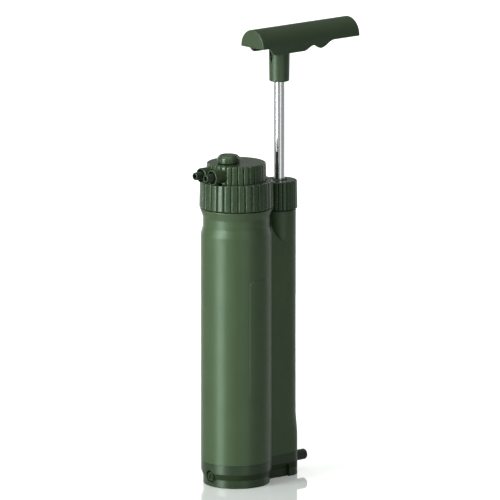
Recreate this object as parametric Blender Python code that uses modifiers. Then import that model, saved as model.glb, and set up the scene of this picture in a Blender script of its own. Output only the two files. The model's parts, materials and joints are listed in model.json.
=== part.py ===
"""Hand-pumped water filter: a two-barrel housing, a screwed-on head and a pump rod with a half-round T-handle.

The origin is the centre of the main barrel's foot, on the ground. +Z is up the barrels, and +X runs from the main
barrel to the pump barrel. Lengths are in metres.
"""

import math

import bmesh
import bpy

# Clearances and smoothness
GAP = 0.0003  # between two pieces that touch on the real object
LARGE_STEPS = 40
MEDIUM_STEPS = 28
SMALL_STEPS = 20
RING_STEPS = (20, 5)
CORNER_STEPS = 2
SHARP_ANGLE = math.radians(32)

# Layout of the two barrels
AXIS_SPACING = 0.0368
SEAM_Z = 0.0155  # the joint between the base cap and the housing
FLOOR = 0.0028  # thickness of the base cap's floor

# Main barrel
MAIN_RADIUS = 0.0230
MAIN_BORE = 0.0208
FOOT_RADIUS = 0.0216
FOOT_HEIGHT = 0.0053
FOOT_CONE_TOP = 0.0093
BARREL_TOP = 0.1652
WAIST_RADIUS = 0.0216
WAIST_BOTTOM = 0.1702
WAIST_TOP = 0.1764
SHOULDER_RADIUS = 0.0234
SHOULDER_Z = 0.1820
NECK_RADIUS = 0.0203
NECK_BORE = 0.0192
NECK_TOP = 0.1955
THREAD_HEIGHT = 0.0005
THREAD_PITCH = 0.0030
THREAD_TURNS = 1
UPSTAND_HEIGHT = 0.0040  # the base cap's rings that stand inside the two bores
MAIN_CAVITY = 0.0184

# Pump barrel and the web between the barrels
PUMP_RADIUS = 0.0109
PUMP_BORE = 0.0085
PUMP_TOP = 0.1764
SWELL = 0.0013  # how far the foot of the pump barrel leans out towards the inlet
SWELL_TOP = 0.0430
SWELL_BOTTOM = 0.0240
SWELL_RINGS = 5
WEB_HALF_WIDTH = 0.01075
PUMP_NECK_RADIUS = 0.0096
PUMP_NECK_TOP = 0.1903
VALVE_POCKET = 0.0069
SUMP_RADIUS = 0.0060
WEB_START = 0.0195  # where the web's top edge leaves the main barrel, along X
WEB_TOP = 0.1770
WEB_DIP = 0.0215  # how far the web's top edge falls on its way to the pump barrel
PANEL_HALF_WIDTH = 0.0074
PANEL_BOTTOM = 0.0594
PANEL_TOP = 0.1370
PANEL_CORNER = 0.0036
PANEL_HEIGHT = 0.0004
FOOT_RECESS_DEPTH = 0.0013
FOOT_RECESS_TOP = 0.0072
FOOT_RECESS_END = 0.0330

# Ports low on the base
INLET_Z = 0.0098
INLET_RADIUS = 0.0035
INLET_BORE = 0.0020
INLET_STUB_RADIUS = 0.0030
INLET_REACH = 0.0220  # from the pump axis
DRAIN_Z = 0.0069
DRAIN_BOSS_RADIUS = 0.0042
DRAIN_FACE = 0.0220
DRAIN_HEAD_RADIUS = 0.0031
DRAIN_SHANK_RADIUS = 0.0022
DRAIN_SEAT = 0.0198

# Screw collar, head and its ports
COLLAR_RADIUS = 0.0238
COLLAR_BORE = 0.0212
COLLAR_BOTTOM = 0.1825
COLLAR_TOP = 0.2000
COLLAR_LIP_Z = 0.1983
LARGE_FLUTES = 31
FLUTE_DEPTH = 0.0005
FLUTE_POINTS = 3
HEAD_RADIUS = 0.0195
HEAD_TOP = 0.2116
HEAD_FLANGE_RADIUS = 0.0207
HEAD_PLUG_RADIUS = 0.0188
HEAD_PLUG_BOTTOM = 0.1850
EDGE = 0.0007
PORT_Y = 0.0053
PORT_Z = 0.2051
PORT_RADIUS = 0.0048
PORT_FACE = 0.0256
PORT_RECESS_RADIUS = 0.0041
PORT_RECESS_END = 0.0195
SPIGOT_TIP = 0.0309
SPIGOT_ROOT_RADIUS = 0.0033
SPIGOT_TIP_RADIUS = 0.0024
SPIGOT_BORE = 0.00145
PLENUM_RADIUS = 0.0068
PLENUM_BOTTOM = 0.1985
PLENUM_TOP = 0.2085
SOCKET_RADIUS = 0.0047
KNOB_X = -0.0065
KNOB_RADIUS = 0.0074
KNOB_BOTTOM = 0.2120
KNOB_TOP = 0.2172
KNOB_FLUTES = 8
SPINDLE_RADIUS = 0.0023
SPINDLE_BOTTOM = 0.2035

# Gland on top of the pump barrel
NUT_TOP_RADIUS = 0.0118
NUT_BOTTOM = 0.1770
NUT_TOP = 0.1954
NUT_BORE = 0.0103
NUT_LIP_Z = 0.1931
NUT_MOUTH = 0.0054
NUT_FLUTES = 24
ROD_RADIUS = 0.0036
ROD_CLEARANCE = 0.00015

# Rod, piston and handle, pulled right up
PISTON_BOTTOM = 0.1635
PISTON_TOP = 0.1774
PISTON_RADIUS = 0.0082
ROD_TAIL_RADIUS = 0.0024
BUSH_BOTTOM = 0.1780
NECK_BOTTOM_Z = 0.2604
NECK_RADIUS_LOW = 0.00655
NECK_RADIUS_HIGH = 0.0068
HANDLE_HALF_WIDTH = 0.0111
HANDLE_END_Z = 0.2850  # lower edge of the handle's two ends
HANDLE_APEX_Z = 0.2967
HANDLE_SHORT_ARM = 0.0230
HANDLE_LONG_ARM = 0.0587
HANDLE_WALL = 0.0020
SKIRT_DEEP = 0.0047
SKIRT_GROOVE = 0.0018
SKIRT_BUMP = 0.0043

# Filter cartridge
CASE_RADIUS = 0.0186
CASE_BORE = 0.0172
CASE_TOP = 0.1760
CASE_WINDOW_TOP = 0.0370
CASE_WINDOWS = 6
FILL_RADIUS = 0.0169
STAGE_Z = (0.0400, 0.0412, 0.0475, 0.0778, 0.0790, 0.1600, 0.1680)
NOZZLE_RADIUS = 0.0042
NOZZLE_BORE = 0.0022
NOZZLE_TOP = 0.1965

# Check valves: each is a seat, a ball, a spring and a cage
BALL_RADIUS = 0.0024
BALL_LIFT = 0.0002
SEAT_HOLE = 0.0018
CAGE_RADIUS = 0.0056
CAGE_BORE = 0.0046
CAGE_HEIGHT = 0.0105
CAGE_ROOF = 0.0012
SPRING_RADIUS = 0.0019
SPRING_WIRE = 0.00025
SPRING_TURNS = 3
INLET_SEAT_Z = (0.0139, 0.0174)
TRANSFER_X = 0.0105
TRANSFER_RADIUS = 0.0060
TRANSFER_Z = (0.0197, 0.0280)
TRANSFER_PORT_Z = 0.0240

GREEN = (0.050, 0.075, 0.046)
DARK_GREEN = (0.030, 0.045, 0.029)
BLACK = (0.012, 0.012, 0.012)
STEEL = (0.75, 0.75, 0.76)
BRASS = (0.72, 0.53, 0.25)
NATURAL = (0.78, 0.78, 0.74)
CLEAR = (0.62, 0.68, 0.70)
CHARCOAL = (0.02, 0.02, 0.022)
RED = (0.35, 0.05, 0.04)


def clear_scene():
    for obj in list(bpy.data.objects):
        bpy.data.objects.remove(obj, do_unlink=True)


def collection_named(name):
    found = bpy.data.collections.new(name)
    bpy.context.scene.collection.children.link(found)
    return found


def material_of(name, color, roughness=0.5, metallic=0.0):
    """A Principled material for the part called name."""
    material = bpy.data.materials.new(name)
    material.use_nodes = True
    shader = material.node_tree.nodes["Principled BSDF"]
    shader.inputs["Base Color"].default_value = (*color, 1)
    shader.inputs["Roughness"].default_value = roughness
    shader.inputs["Metallic"].default_value = metallic
    return material


def place(name, mesh, location=(0, 0, 0), rotation=(0, 0, 0)):
    """A cutter or building block: hidden from renders until part() takes it up."""
    obj = bpy.data.objects.new(name, mesh)
    obj.location = location
    obj.rotation_euler = rotation
    obj.hide_render = True
    obj.display_type = "WIRE"
    cutters.objects.link(obj)
    return obj


def part(obj, color, roughness=0.5, metallic=0.0):
    """Moves a finished shape to the object's own collection and gives it its material."""
    cutters.objects.unlink(obj)
    filter_parts.objects.link(obj)
    obj.hide_render = False
    obj.display_type = "TEXTURED"
    obj.data.materials.clear()
    obj.data.materials.append(material_of(obj.name, color, roughness, metallic))
    return obj


def smooth(mesh):
    mesh.shade_smooth()
    mesh.set_sharp_from_angle(angle=SHARP_ANGLE)


def settled(obj, name, location, rotation):
    """A mesh object in place of a curve, or of a profile with its modifier."""
    graph = bpy.context.evaluated_depsgraph_get()
    mesh = bpy.data.meshes.new_from_object(obj.evaluated_get(graph))
    bpy.data.objects.remove(obj, do_unlink=True)
    shape = bmesh.new()
    shape.from_mesh(mesh)
    bmesh.ops.remove_doubles(shape, verts=shape.verts, dist=1e-6)
    bmesh.ops.recalc_face_normals(shape, faces=shape.faces)
    shape.to_mesh(mesh)
    shape.free()
    mesh.name = name
    smooth(mesh)
    return place(name, mesh, location, rotation)


def turned(name, outline, location=(0, 0, 0), rotation=(0, 0, 0), steps=SMALL_STEPS):
    """Turns (radius, height) points about local Z. They run over the top, down the outside and back."""
    points = [(radius, 0, height) for radius, height in outline]
    edges = [(i, i + 1) for i in range(len(points) - 1)]
    if outline[0][0] > 0:
        edges.append((len(points) - 1, 0))
    mesh = bpy.data.meshes.new(name)
    mesh.from_pydata(points, edges, [])
    obj = place(name + "_outline", mesh)
    screw = obj.modifiers.new("turn", "SCREW")
    screw.steps = steps
    screw.render_steps = steps
    screw.use_merge_vertices = True
    screw.merge_threshold = 1e-6
    bpy.context.view_layer.update()
    return settled(obj, name, location, rotation)


def plate(name, outlines, low, high, location=(0, 0, 0), rotation=(0, 0, 0)):
    """A flat shape from low to high along local Z. Outlines inside the first are its holes."""
    curve = bpy.data.curves.new(name, "CURVE")
    curve.dimensions = "2D"
    curve.fill_mode = "BOTH"
    curve.extrude = (high - low) / 2
    for outline in outlines:
        spline = curve.splines.new("POLY")
        spline.points.add(len(outline) - 1)
        for point, (x, y) in zip(spline.points, outline):
            point.co = (x, y, 0, 1)
        spline.use_cyclic_u = True
    obj = place(name + "_outline", curve)
    bpy.context.view_layer.update()
    solid = settled(obj, name, location, rotation)
    for vertex in solid.data.vertices:
        vertex.co.z += (high + low) / 2
    return solid


def upright_plate(name, outline, half_depth, centre_y=0.0, x=0.0):
    """A plate with its outline in the XZ plane, as thick as twice half_depth along Y."""
    return plate(name, [outline], -half_depth, half_depth, (x, centre_y, 0), (math.pi / 2, 0, 0))


def bar(name, radius, start, end, location, steps=SMALL_STEPS):
    """A round bar along X, from start to end measured from location."""
    outline = [(0, end), (radius, end), (radius, start), (0, start)]
    return turned(name, outline, location, (0, math.pi / 2, 0), steps)


def combine(obj, operation, *others, solver="EXACT"):
    for other in others:
        modifier = obj.modifiers.new(other.name, "BOOLEAN")
        modifier.operation = operation
        modifier.object = other
        modifier.solver = solver
    return obj


def arc(centre_x, centre_y, radius_x, radius_y, start, end, count):
    """Points on an ellipse, from start to end degrees."""
    points = []
    for i in range(count + 1):
        angle = math.radians(start + (end - start) * i / count)
        points.append((centre_x + radius_x * math.cos(angle), centre_y + radius_y * math.sin(angle)))
    return points


def circle(radius, count=SMALL_STEPS, x=0.0, y=0.0):
    return arc(x, y, radius, radius, 0, 360, count)[:-1]


def rounded_box(left, right, low, high, corner):
    """An outline with four round corners, anticlockwise."""
    steps = CORNER_STEPS
    return (
        arc(right - corner, low + corner, corner, corner, -90, 0, steps)
        + arc(right - corner, high - corner, corner, corner, 0, 90, steps)
        + arc(left + corner, high - corner, corner, corner, 90, 180, steps)
        + arc(left + corner, low + corner, corner, corner, 180, 270, steps)
    )


def lobed(radius, depth, count):
    """A fluted outline: round lobes with valleys as deep as depth between them."""
    total = count * FLUTE_POINTS
    points = []
    for i in range(total):
        angle = 2 * math.pi * i / total
        reach = radius - depth * (1 - math.cos(count * angle)) / 2
        points.append((reach * math.cos(angle), reach * math.sin(angle)))
    return points


def fluted(name, outline, radius, depth, count, location=(0, 0, 0)):
    """A turned shape whose outside is trimmed to a lobed outline. The turned outline stands just proud of it."""
    heights = [height for _, height in outline]
    trim = plate(
        name + "_lobes",
        [lobed(radius, depth, count)],
        min(heights) - GAP,
        max(heights) + GAP,
        location,
    )
    return combine(turned(name, outline, location, steps=MEDIUM_STEPS), "INTERSECT", trim)


def o_ring(name, major, minor, location, rotation=(0, 0, 0)):
    bpy.ops.mesh.primitive_torus_add(
        major_radius=major,
        minor_radius=minor,
        major_segments=RING_STEPS[0],
        minor_segments=RING_STEPS[1],
        location=location,
        rotation=rotation,
    )
    made = bpy.context.object
    mesh = made.data
    bpy.data.objects.remove(made, do_unlink=True)
    smooth(mesh)
    return part(place(name, mesh, location, rotation), BLACK, 0.6)


def threaded_neck(radius, root, top):
    """The outside of a screwed neck, from its top edge down to root, with one ridge for each turn of thread."""
    points = [(radius, top)]
    for turn in range(THREAD_TURNS):
        height = top - THREAD_PITCH * (turn + 0.7)
        points += [
            (radius, height + THREAD_HEIGHT),
            (radius + THREAD_HEIGHT, height),
            (radius, height - THREAD_HEIGHT),
        ]
    return points + [(radius, root)]


def web_outline(bottom, top_edge):
    """The web between the barrels, from inside the main barrel to the pump axis."""
    inside = MAIN_RADIUS - 0.004
    return [(inside, bottom), (AXIS_SPACING, bottom), *top_edge, (inside, top_edge[-1][1])]


def swollen(obj):
    """Moves the foot of the pump barrel outwards, along X, without changing its round section."""
    for vertex in obj.data.vertices:
        share = (SWELL_TOP - vertex.co.z) / (SWELL_TOP - SWELL_BOTTOM)
        share = min(max(share, 0), 1)
        vertex.co.x += SWELL * share * share * (3 - 2 * share)
    return obj


def housing():
    """Main barrel, pump barrel and web in one moulding, open at the foot and at both necks."""
    foot = SEAM_Z + GAP / 2
    body = turned(
        "housing",
        [
            (0, NECK_TOP),
            *threaded_neck(NECK_RADIUS, SHOULDER_Z, NECK_TOP),
            (SHOULDER_RADIUS, SHOULDER_Z),
            (SHOULDER_RADIUS, SHOULDER_Z - EDGE),
            (WAIST_RADIUS, WAIST_TOP),
            (WAIST_RADIUS, WAIST_BOTTOM),
            (MAIN_RADIUS, BARREL_TOP),
            (MAIN_RADIUS, foot),
            (0, foot),
        ],
        steps=LARGE_STEPS,
    )
    swell_step = (SWELL_TOP - SWELL_BOTTOM) / (SWELL_RINGS - 1)
    swell = [(PUMP_RADIUS, SWELL_TOP - i * swell_step) for i in range(SWELL_RINGS)]
    pump = turned(
        "pump_barrel",
        [
            (0, PUMP_NECK_TOP),
            *threaded_neck(PUMP_NECK_RADIUS, PUMP_TOP, PUMP_NECK_TOP),
            (PUMP_RADIUS, PUMP_TOP),
            *swell,
            (PUMP_RADIUS, foot),
            (0, foot),
        ],
        (AXIS_SPACING, 0, 0),
        steps=MEDIUM_STEPS,
    )
    swollen(pump)
    sweep = arc(AXIS_SPACING, WEB_TOP, AXIS_SPACING - WEB_START, WEB_DIP, 270, 180, 10)
    web = upright_plate("web", web_outline(foot, sweep), WEB_HALF_WIDTH)
    combine(body, "UNION", pump, web, panel("front_panel", -1), panel("rear_panel", 1), solver="MANIFOLD")
    main_bore = turned(
        "main_bore",
        [
            (0, NECK_TOP + GAP),
            (NECK_BORE, NECK_TOP + GAP),
            (NECK_BORE, WAIST_BOTTOM),
            (MAIN_BORE, BARREL_TOP - 0.0015),
            (MAIN_BORE, foot - GAP),
            (0, foot - GAP),
        ],
        steps=MEDIUM_STEPS,
    )
    pump_bore = turned(
        "pump_bore",
        [
            (0, PUMP_NECK_TOP + GAP),
            (PUMP_BORE, PUMP_NECK_TOP + GAP),
            (PUMP_BORE, foot - GAP),
            (0, foot - GAP),
        ],
        (AXIS_SPACING, 0, 0),
        steps=MEDIUM_STEPS,
    )
    nipple_hole = bar("nipple_hole", 0.0027, 0.019, 0.0273, (0, 0, TRANSFER_PORT_Z))
    feed_hole = bar("feed_hole", 0.0016, 0.026, 0.030, (0, 0, TRANSFER_PORT_Z))
    combine(body, "DIFFERENCE", main_bore, pump_bore, nipple_hole, feed_hole, solver="MANIFOLD")
    return part(body, GREEN, 0.42)


def panel(name, side):
    """A slightly raised blank panel with round corners on the side of the main barrel that faces side * Y."""
    outer = MAIN_RADIUS + PANEL_HEIGHT
    inner = MAIN_RADIUS - 0.001
    ring = turned(
        name,
        [(inner, PANEL_TOP), (outer, PANEL_TOP), (outer, PANEL_BOTTOM), (inner, PANEL_BOTTOM)],
        steps=LARGE_STEPS,
    )
    edge = rounded_box(-PANEL_HALF_WIDTH, PANEL_HALF_WIDTH, PANEL_BOTTOM, PANEL_TOP, PANEL_CORNER)
    window = upright_plate(name + "_edge", edge, MAIN_RADIUS / 2, side * MAIN_RADIUS)
    return combine(ring, "INTERSECT", window)


def base_cap():
    """The closed foot of both barrels, with rings that stand inside the housing's bores."""
    seam = SEAM_Z - GAP / 2
    top = seam + UPSTAND_HEIGHT
    body = turned(
        "base_cap",
        [
            (0, top),
            (MAIN_BORE - GAP, top),
            (MAIN_BORE - GAP, seam),
            (MAIN_RADIUS, seam),
            (MAIN_RADIUS, FOOT_CONE_TOP),
            (FOOT_RADIUS, FOOT_HEIGHT),
            (FOOT_RADIUS, EDGE),
            (FOOT_RADIUS - EDGE / 2, EDGE / 4),
            (FOOT_RADIUS - EDGE, 0),
            (0, 0),
        ],
        steps=LARGE_STEPS,
    )
    pump = turned(
        "pump_foot",
        [(0, seam), (PUMP_RADIUS, seam), (PUMP_RADIUS, EDGE), (PUMP_RADIUS - EDGE, 0), (0, 0)],
        (AXIS_SPACING + SWELL, 0, 0),
        steps=MEDIUM_STEPS,
    )
    upstand = turned(
        "pump_upstand",
        [(0, top), (PUMP_BORE - GAP, top), (PUMP_BORE - GAP, FLOOR), (0, FLOOR)],
        (AXIS_SPACING, 0, 0),
        steps=MEDIUM_STEPS,
    )
    web = upright_plate("foot_web", web_outline(0, [(AXIS_SPACING, seam), (WEB_START, seam)]), WEB_HALF_WIDTH)
    boss = bar("drain_boss", DRAIN_BOSS_RADIUS, -DRAIN_FACE, -MAIN_CAVITY, (0, 0, DRAIN_Z))
    combine(body, "UNION", pump, upstand, web, boss, solver="MANIFOLD")
    combine(body, "DIFFERENCE", *base_cavities(top), *foot_recesses(), solver="MANIFOLD")
    return part(body, GREEN, 0.42)


def base_cavities(top):
    """The hollows of the base cap: the main plenum, the sump under the inlet valve and the two side holes."""
    plenum = [(0, top + GAP), (MAIN_CAVITY, top + GAP), (MAIN_CAVITY, FLOOR), (0, FLOOR)]
    sump = [
        (0, top + GAP),
        (VALVE_POCKET, top + GAP),
        (VALVE_POCKET, INLET_SEAT_Z[0] - GAP),
        (SUMP_RADIUS, INLET_SEAT_Z[0] - GAP),
        (SUMP_RADIUS, FLOOR),
        (0, FLOOR),
    ]
    pump_axis = (AXIS_SPACING, 0, 0)
    inlet_start = (AXIS_SPACING, 0, INLET_Z)
    drain_start = (0, 0, DRAIN_Z)
    return [
        turned("plenum", plenum, steps=MEDIUM_STEPS),
        turned("sump", sump, pump_axis),
        bar("inlet_hole", INLET_STUB_RADIUS + GAP, SUMP_RADIUS - 0.002, PUMP_RADIUS + SWELL + 0.001, inlet_start),
        bar("drain_pocket", DRAIN_HEAD_RADIUS + GAP, -MAIN_RADIUS - 0.001, -DRAIN_SEAT, drain_start),
        bar("drain_hole", DRAIN_SHANK_RADIUS + GAP, -MAIN_RADIUS, -MAIN_CAVITY + 0.002, drain_start),
    ]


def foot_recesses():
    """A low arch on each side of the web, stepped in from its flat side."""
    recesses = []
    for side in (-1, 1):
        outline = rounded_box(0.010, FOOT_RECESS_END, -0.010, FOOT_RECESS_TOP, 0.003)
        cutter = upright_plate("foot_recess", outline, 0.002, side * (PUMP_RADIUS - FOOT_RECESS_DEPTH + 0.002))
        keep = turned(
            "foot_keep",
            [(0, 0.02), (FOOT_RADIUS, 0.02), (FOOT_RADIUS, -0.02), (0, -0.02)],
            steps=LARGE_STEPS,
        )
        recesses.append(combine(cutter, "DIFFERENCE", keep))
    return recesses


def inlet_spigot():
    """The plain hose tube that points away from the main barrel."""
    root = PUMP_RADIUS + SWELL + GAP
    outline = [
        (INLET_BORE, INLET_REACH),
        (INLET_RADIUS - EDGE, INLET_REACH),
        (INLET_RADIUS, INLET_REACH - EDGE),
        (INLET_RADIUS, root),
        (INLET_STUB_RADIUS, root),
        (INLET_STUB_RADIUS, SUMP_RADIUS + GAP),
        (INLET_BORE, SUMP_RADIUS + GAP),
    ]
    spigot = turned("inlet_spigot", outline, (AXIS_SPACING, 0, INLET_Z), (0, math.pi / 2, 0))
    return part(spigot, DARK_GREEN, 0.45)


def drain_plug():
    """A quarter-turn plug with a coin slot and a sealing washer, at the foot of the main barrel."""
    face = DRAIN_FACE + GAP
    under_head = DRAIN_SEAT + 0.0015
    outline = [
        (0, face - 0.0003),
        (0.0022, face - 0.0003),
        (0.0024, face - 0.0006),
        (0.0028, face - 0.0006),
        (0.0030, face),
        (DRAIN_HEAD_RADIUS - 0.0002, face),
        (DRAIN_HEAD_RADIUS, face - 0.0002),
        (DRAIN_HEAD_RADIUS, under_head),
        (DRAIN_SHANK_RADIUS, under_head),
        (DRAIN_SHANK_RADIUS, MAIN_CAVITY - 0.001),
        (0, MAIN_CAVITY - 0.001),
    ]
    towards_minus_x = (0, -math.pi / 2, 0)
    plug = turned("drain_plug", outline, (0, 0, DRAIN_Z), towards_minus_x)
    slot = plate(
        "coin_slot",
        [rounded_box(-0.0019, 0.0019, -0.00045, 0.00045, 0.0002)],
        face - 0.0009,
        face + 0.001,
        (0, 0, DRAIN_Z),
        towards_minus_x,
    )
    part(combine(plug, "DIFFERENCE", slot), GREEN, 0.42)
    washer = [
        (DRAIN_SHANK_RADIUS + GAP, under_head - GAP),
        (DRAIN_HEAD_RADIUS, under_head - GAP),
        (DRAIN_HEAD_RADIUS, DRAIN_SEAT + GAP),
        (DRAIN_SHANK_RADIUS + GAP, DRAIN_SEAT + GAP),
    ]
    part(turned("drain_plug_seal", washer, (0, 0, DRAIN_Z), towards_minus_x), BLACK, 0.7)


def collar_ring():
    """The fluted screw collar that draws the head down on the barrel."""
    proud = COLLAR_RADIUS + GAP
    outline = [
        (HEAD_RADIUS + GAP, COLLAR_TOP),
        (COLLAR_RADIUS - EDGE, COLLAR_TOP),
        (proud, COLLAR_TOP - EDGE - GAP),
        (proud, COLLAR_BOTTOM + EDGE + GAP),
        (COLLAR_RADIUS - EDGE, COLLAR_BOTTOM),
        (COLLAR_BORE, COLLAR_BOTTOM),
        (COLLAR_BORE, COLLAR_LIP_Z),
        (HEAD_RADIUS + GAP, COLLAR_LIP_Z),
    ]
    collar = fluted("collar_ring", outline, COLLAR_RADIUS, FLUTE_DEPTH, LARGE_FLUTES)
    return part(collar, GREEN, 0.42)


def outlet_head():
    """The head: a fluted drum with two hose sockets, on a flange and a plug that seals in the barrel's neck."""
    flange_top = COLLAR_LIP_Z - GAP
    flange_bottom = NECK_TOP + GAP
    groove = (0.1882, 0.1906)
    body = turned(
        "outlet_head",
        [
            (0, flange_top),
            (HEAD_FLANGE_RADIUS, flange_top),
            (HEAD_FLANGE_RADIUS, flange_bottom),
            (HEAD_PLUG_RADIUS, flange_bottom),
            (HEAD_PLUG_RADIUS, groove[1]),
            (HEAD_PLUG_RADIUS - 0.0018, groove[1]),
            (HEAD_PLUG_RADIUS - 0.0018, groove[0]),
            (HEAD_PLUG_RADIUS, groove[0]),
            (HEAD_PLUG_RADIUS, HEAD_PLUG_BOTTOM),
            (0, HEAD_PLUG_BOTTOM),
        ],
        steps=LARGE_STEPS,
    )
    proud = HEAD_RADIUS + GAP / 2
    drum_outline = [
        (0, HEAD_TOP),
        (HEAD_RADIUS - EDGE, HEAD_TOP),
        (proud, HEAD_TOP - EDGE - GAP / 2),
        (proud, flange_top - 0.001),
        (0, flange_top - 0.001),
    ]
    drum = fluted("head_drum", drum_outline, HEAD_RADIUS, FLUTE_DEPTH, LARGE_FLUTES)
    combine(body, "UNION", drum, *[port_boss(side) for side in (-1, 1)], solver="MANIFOLD")
    combine(body, "DIFFERENCE", *head_cavities(), solver="MANIFOLD")
    part(body, GREEN, 0.42)
    middle = sum(groove) / 2
    o_ring("head_o_ring", HEAD_PLUG_RADIUS - 0.0007, 0.0009, (0, 0, middle))


def port_boss(side):
    return bar("port_boss", PORT_RADIUS, -PORT_FACE, -0.010, (0, side * PORT_Y, PORT_Z))


def head_cavities():
    """The nozzle socket, the plenum above it, the two outlet bores and the vent knob's hole."""
    socket = [
        (0, PLENUM_TOP),
        (PLENUM_RADIUS, PLENUM_TOP),
        (PLENUM_RADIUS, PLENUM_BOTTOM),
        (SOCKET_RADIUS, PLENUM_BOTTOM),
        (SOCKET_RADIUS, HEAD_PLUG_BOTTOM - GAP),
        (0, HEAD_PLUG_BOTTOM - GAP),
    ]
    pocket = [(0.0160, 0.1940), (0.0160, HEAD_PLUG_BOTTOM - GAP), (0.0070, HEAD_PLUG_BOTTOM - GAP), (0.0070, 0.1940)]
    stem = SPINDLE_RADIUS + GAP
    hole = [(0, HEAD_TOP + GAP), (stem, HEAD_TOP + GAP), (stem, SPINDLE_BOTTOM - 0.001), (0, SPINDLE_BOTTOM - 0.001)]
    cutters_made = [
        turned("socket", socket),
        turned("plug_pocket", pocket[::-1]),
        turned("stem_hole", hole, (KNOB_X, 0, 0)),
    ]
    for side in (-1, 1):
        start = (0, side * PORT_Y, PORT_Z)
        cutters_made.append(bar("port_recess", PORT_RECESS_RADIUS, -PORT_FACE - 0.001, -PORT_RECESS_END, start))
        cutters_made.append(bar("port_bore", SPIGOT_BORE, -PORT_RECESS_END - 0.001, -0.003, start))
    return cutters_made


def outlet_spigots():
    """Two tapered hose spigots, each standing in its own socket."""
    seat = PORT_RECESS_END + GAP
    outline = [
        (SPIGOT_BORE, SPIGOT_TIP),
        (SPIGOT_TIP_RADIUS - 0.0003, SPIGOT_TIP),
        (SPIGOT_TIP_RADIUS, SPIGOT_TIP - 0.0004),
        (SPIGOT_ROOT_RADIUS, seat + 0.002),
        (PORT_RECESS_RADIUS - GAP, seat + 0.0015),
        (PORT_RECESS_RADIUS - GAP, seat),
        (SPIGOT_BORE, seat),
    ]
    for name, side in (("outlet_spigot_front", -1), ("outlet_spigot_rear", 1)):
        part(turned(name, outline, (0, side * PORT_Y, PORT_Z), (0, -math.pi / 2, 0)), GREEN, 0.42)


def vent_knob():
    """The vent's knob, its spindle and the ring that seals the spindle."""
    height = KNOB_TOP - KNOB_BOTTOM
    proud = KNOB_RADIUS + GAP / 2
    outline = [
        (0, height - 0.0003),
        (0.0042, height - 0.0001),
        (0.0046, height),
        (0.0060, height - 0.0005),
        (0.0069, height - 0.0014),
        (proud, height - 0.0024),
        (proud, 0.0005),
        (KNOB_RADIUS - 0.0005, 0),
        (0.0019, 0),
        (0.0019, 0.0027),
        (0, 0.0027),
    ]
    knob = fluted("vent_knob", outline, KNOB_RADIUS, FLUTE_DEPTH / 2, KNOB_FLUTES, (KNOB_X, 0, KNOB_BOTTOM))
    part(knob, GREEN, 0.4)
    groove = (0.2092, 0.2104)
    spindle = [
        (0, KNOB_BOTTOM + 0.0024),
        (0.0016, KNOB_BOTTOM + 0.0024),
        (0.0016, KNOB_BOTTOM - GAP),
        (SPINDLE_RADIUS, KNOB_BOTTOM - GAP),
        (SPINDLE_RADIUS, groove[1]),
        (0.0015, groove[1]),
        (0.0015, groove[0]),
        (SPINDLE_RADIUS, groove[0]),
        (SPINDLE_RADIUS, SPINDLE_BOTTOM + 0.001),
        (SPINDLE_RADIUS - 0.001, SPINDLE_BOTTOM),
        (0, SPINDLE_BOTTOM),
    ]
    part(turned("vent_spindle", spindle, (KNOB_X, 0, 0)), BRASS, 0.3, 1.0)
    o_ring("vent_o_ring", 0.0020, 0.0004, (KNOB_X, 0, sum(groove) / 2))


def gland():
    """The fluted nut, the bush that guides the rod and the wiper round the rod."""
    axis = (AXIS_SPACING, 0, 0)
    proud = NUT_TOP_RADIUS + GAP / 2
    nut_outline = [
        (NUT_MOUTH, NUT_TOP),
        (NUT_TOP_RADIUS - EDGE, NUT_TOP),
        (proud, NUT_TOP - EDGE - GAP / 2),
        (proud, NUT_BOTTOM + GAP),
        (NUT_TOP_RADIUS - GAP / 2, NUT_BOTTOM),
        (NUT_BORE, NUT_BOTTOM),
        (NUT_BORE, NUT_LIP_Z),
        (NUT_MOUTH, NUT_LIP_Z),
    ]
    part(fluted("gland_nut", nut_outline, NUT_TOP_RADIUS, FLUTE_DEPTH * 0.8, NUT_FLUTES, axis), GREEN, 0.42)
    hole = ROD_RADIUS + ROD_CLEARANCE
    flange = (PUMP_NECK_TOP + GAP, NUT_LIP_Z - GAP)
    bush = [
        (hole, flange[1]),
        (NUT_BORE - 0.0004, flange[1]),
        (NUT_BORE - 0.0004, flange[0]),
        (PUMP_BORE - GAP, flange[0]),
        (PUMP_BORE - GAP, BUSH_BOTTOM + EDGE),
        (PUMP_BORE - GAP - EDGE, BUSH_BOTTOM),
        (hole, BUSH_BOTTOM),
    ]
    part(turned("rod_guide_bush", bush, axis), NATURAL, 0.4)
    wiper = [
        (hole, NUT_TOP - 0.0004),
        (hole + 0.0006, NUT_TOP - 0.0002),
        (NUT_MOUTH - GAP, NUT_TOP - 0.0009),
        (NUT_MOUTH - GAP, NUT_LIP_Z),
        (hole, NUT_LIP_Z),
    ]
    part(turned("rod_wiper", wiper, axis), BLACK, 0.65)


def pump_rod():
    """The polished rod. Its thin tail passes through the piston and takes the screw that holds the piston."""
    shoulder = PISTON_TOP + GAP
    tail = PISTON_BOTTOM + 0.0035
    top = 0.2836
    outline = [
        (0, top),
        (ROD_RADIUS - GAP, top),
        (ROD_RADIUS, top - GAP),
        (ROD_RADIUS, shoulder),
        (ROD_TAIL_RADIUS, shoulder),
        (ROD_TAIL_RADIUS, tail),
        (0.0017, tail),
        (0.0017, PISTON_TOP - 0.002),
        (0, PISTON_TOP - 0.002),
    ]
    rod = turned("pump_rod", outline, (AXIS_SPACING, 0, 0))
    return part(rod, STEEL, 0.08, 1.0)


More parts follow.
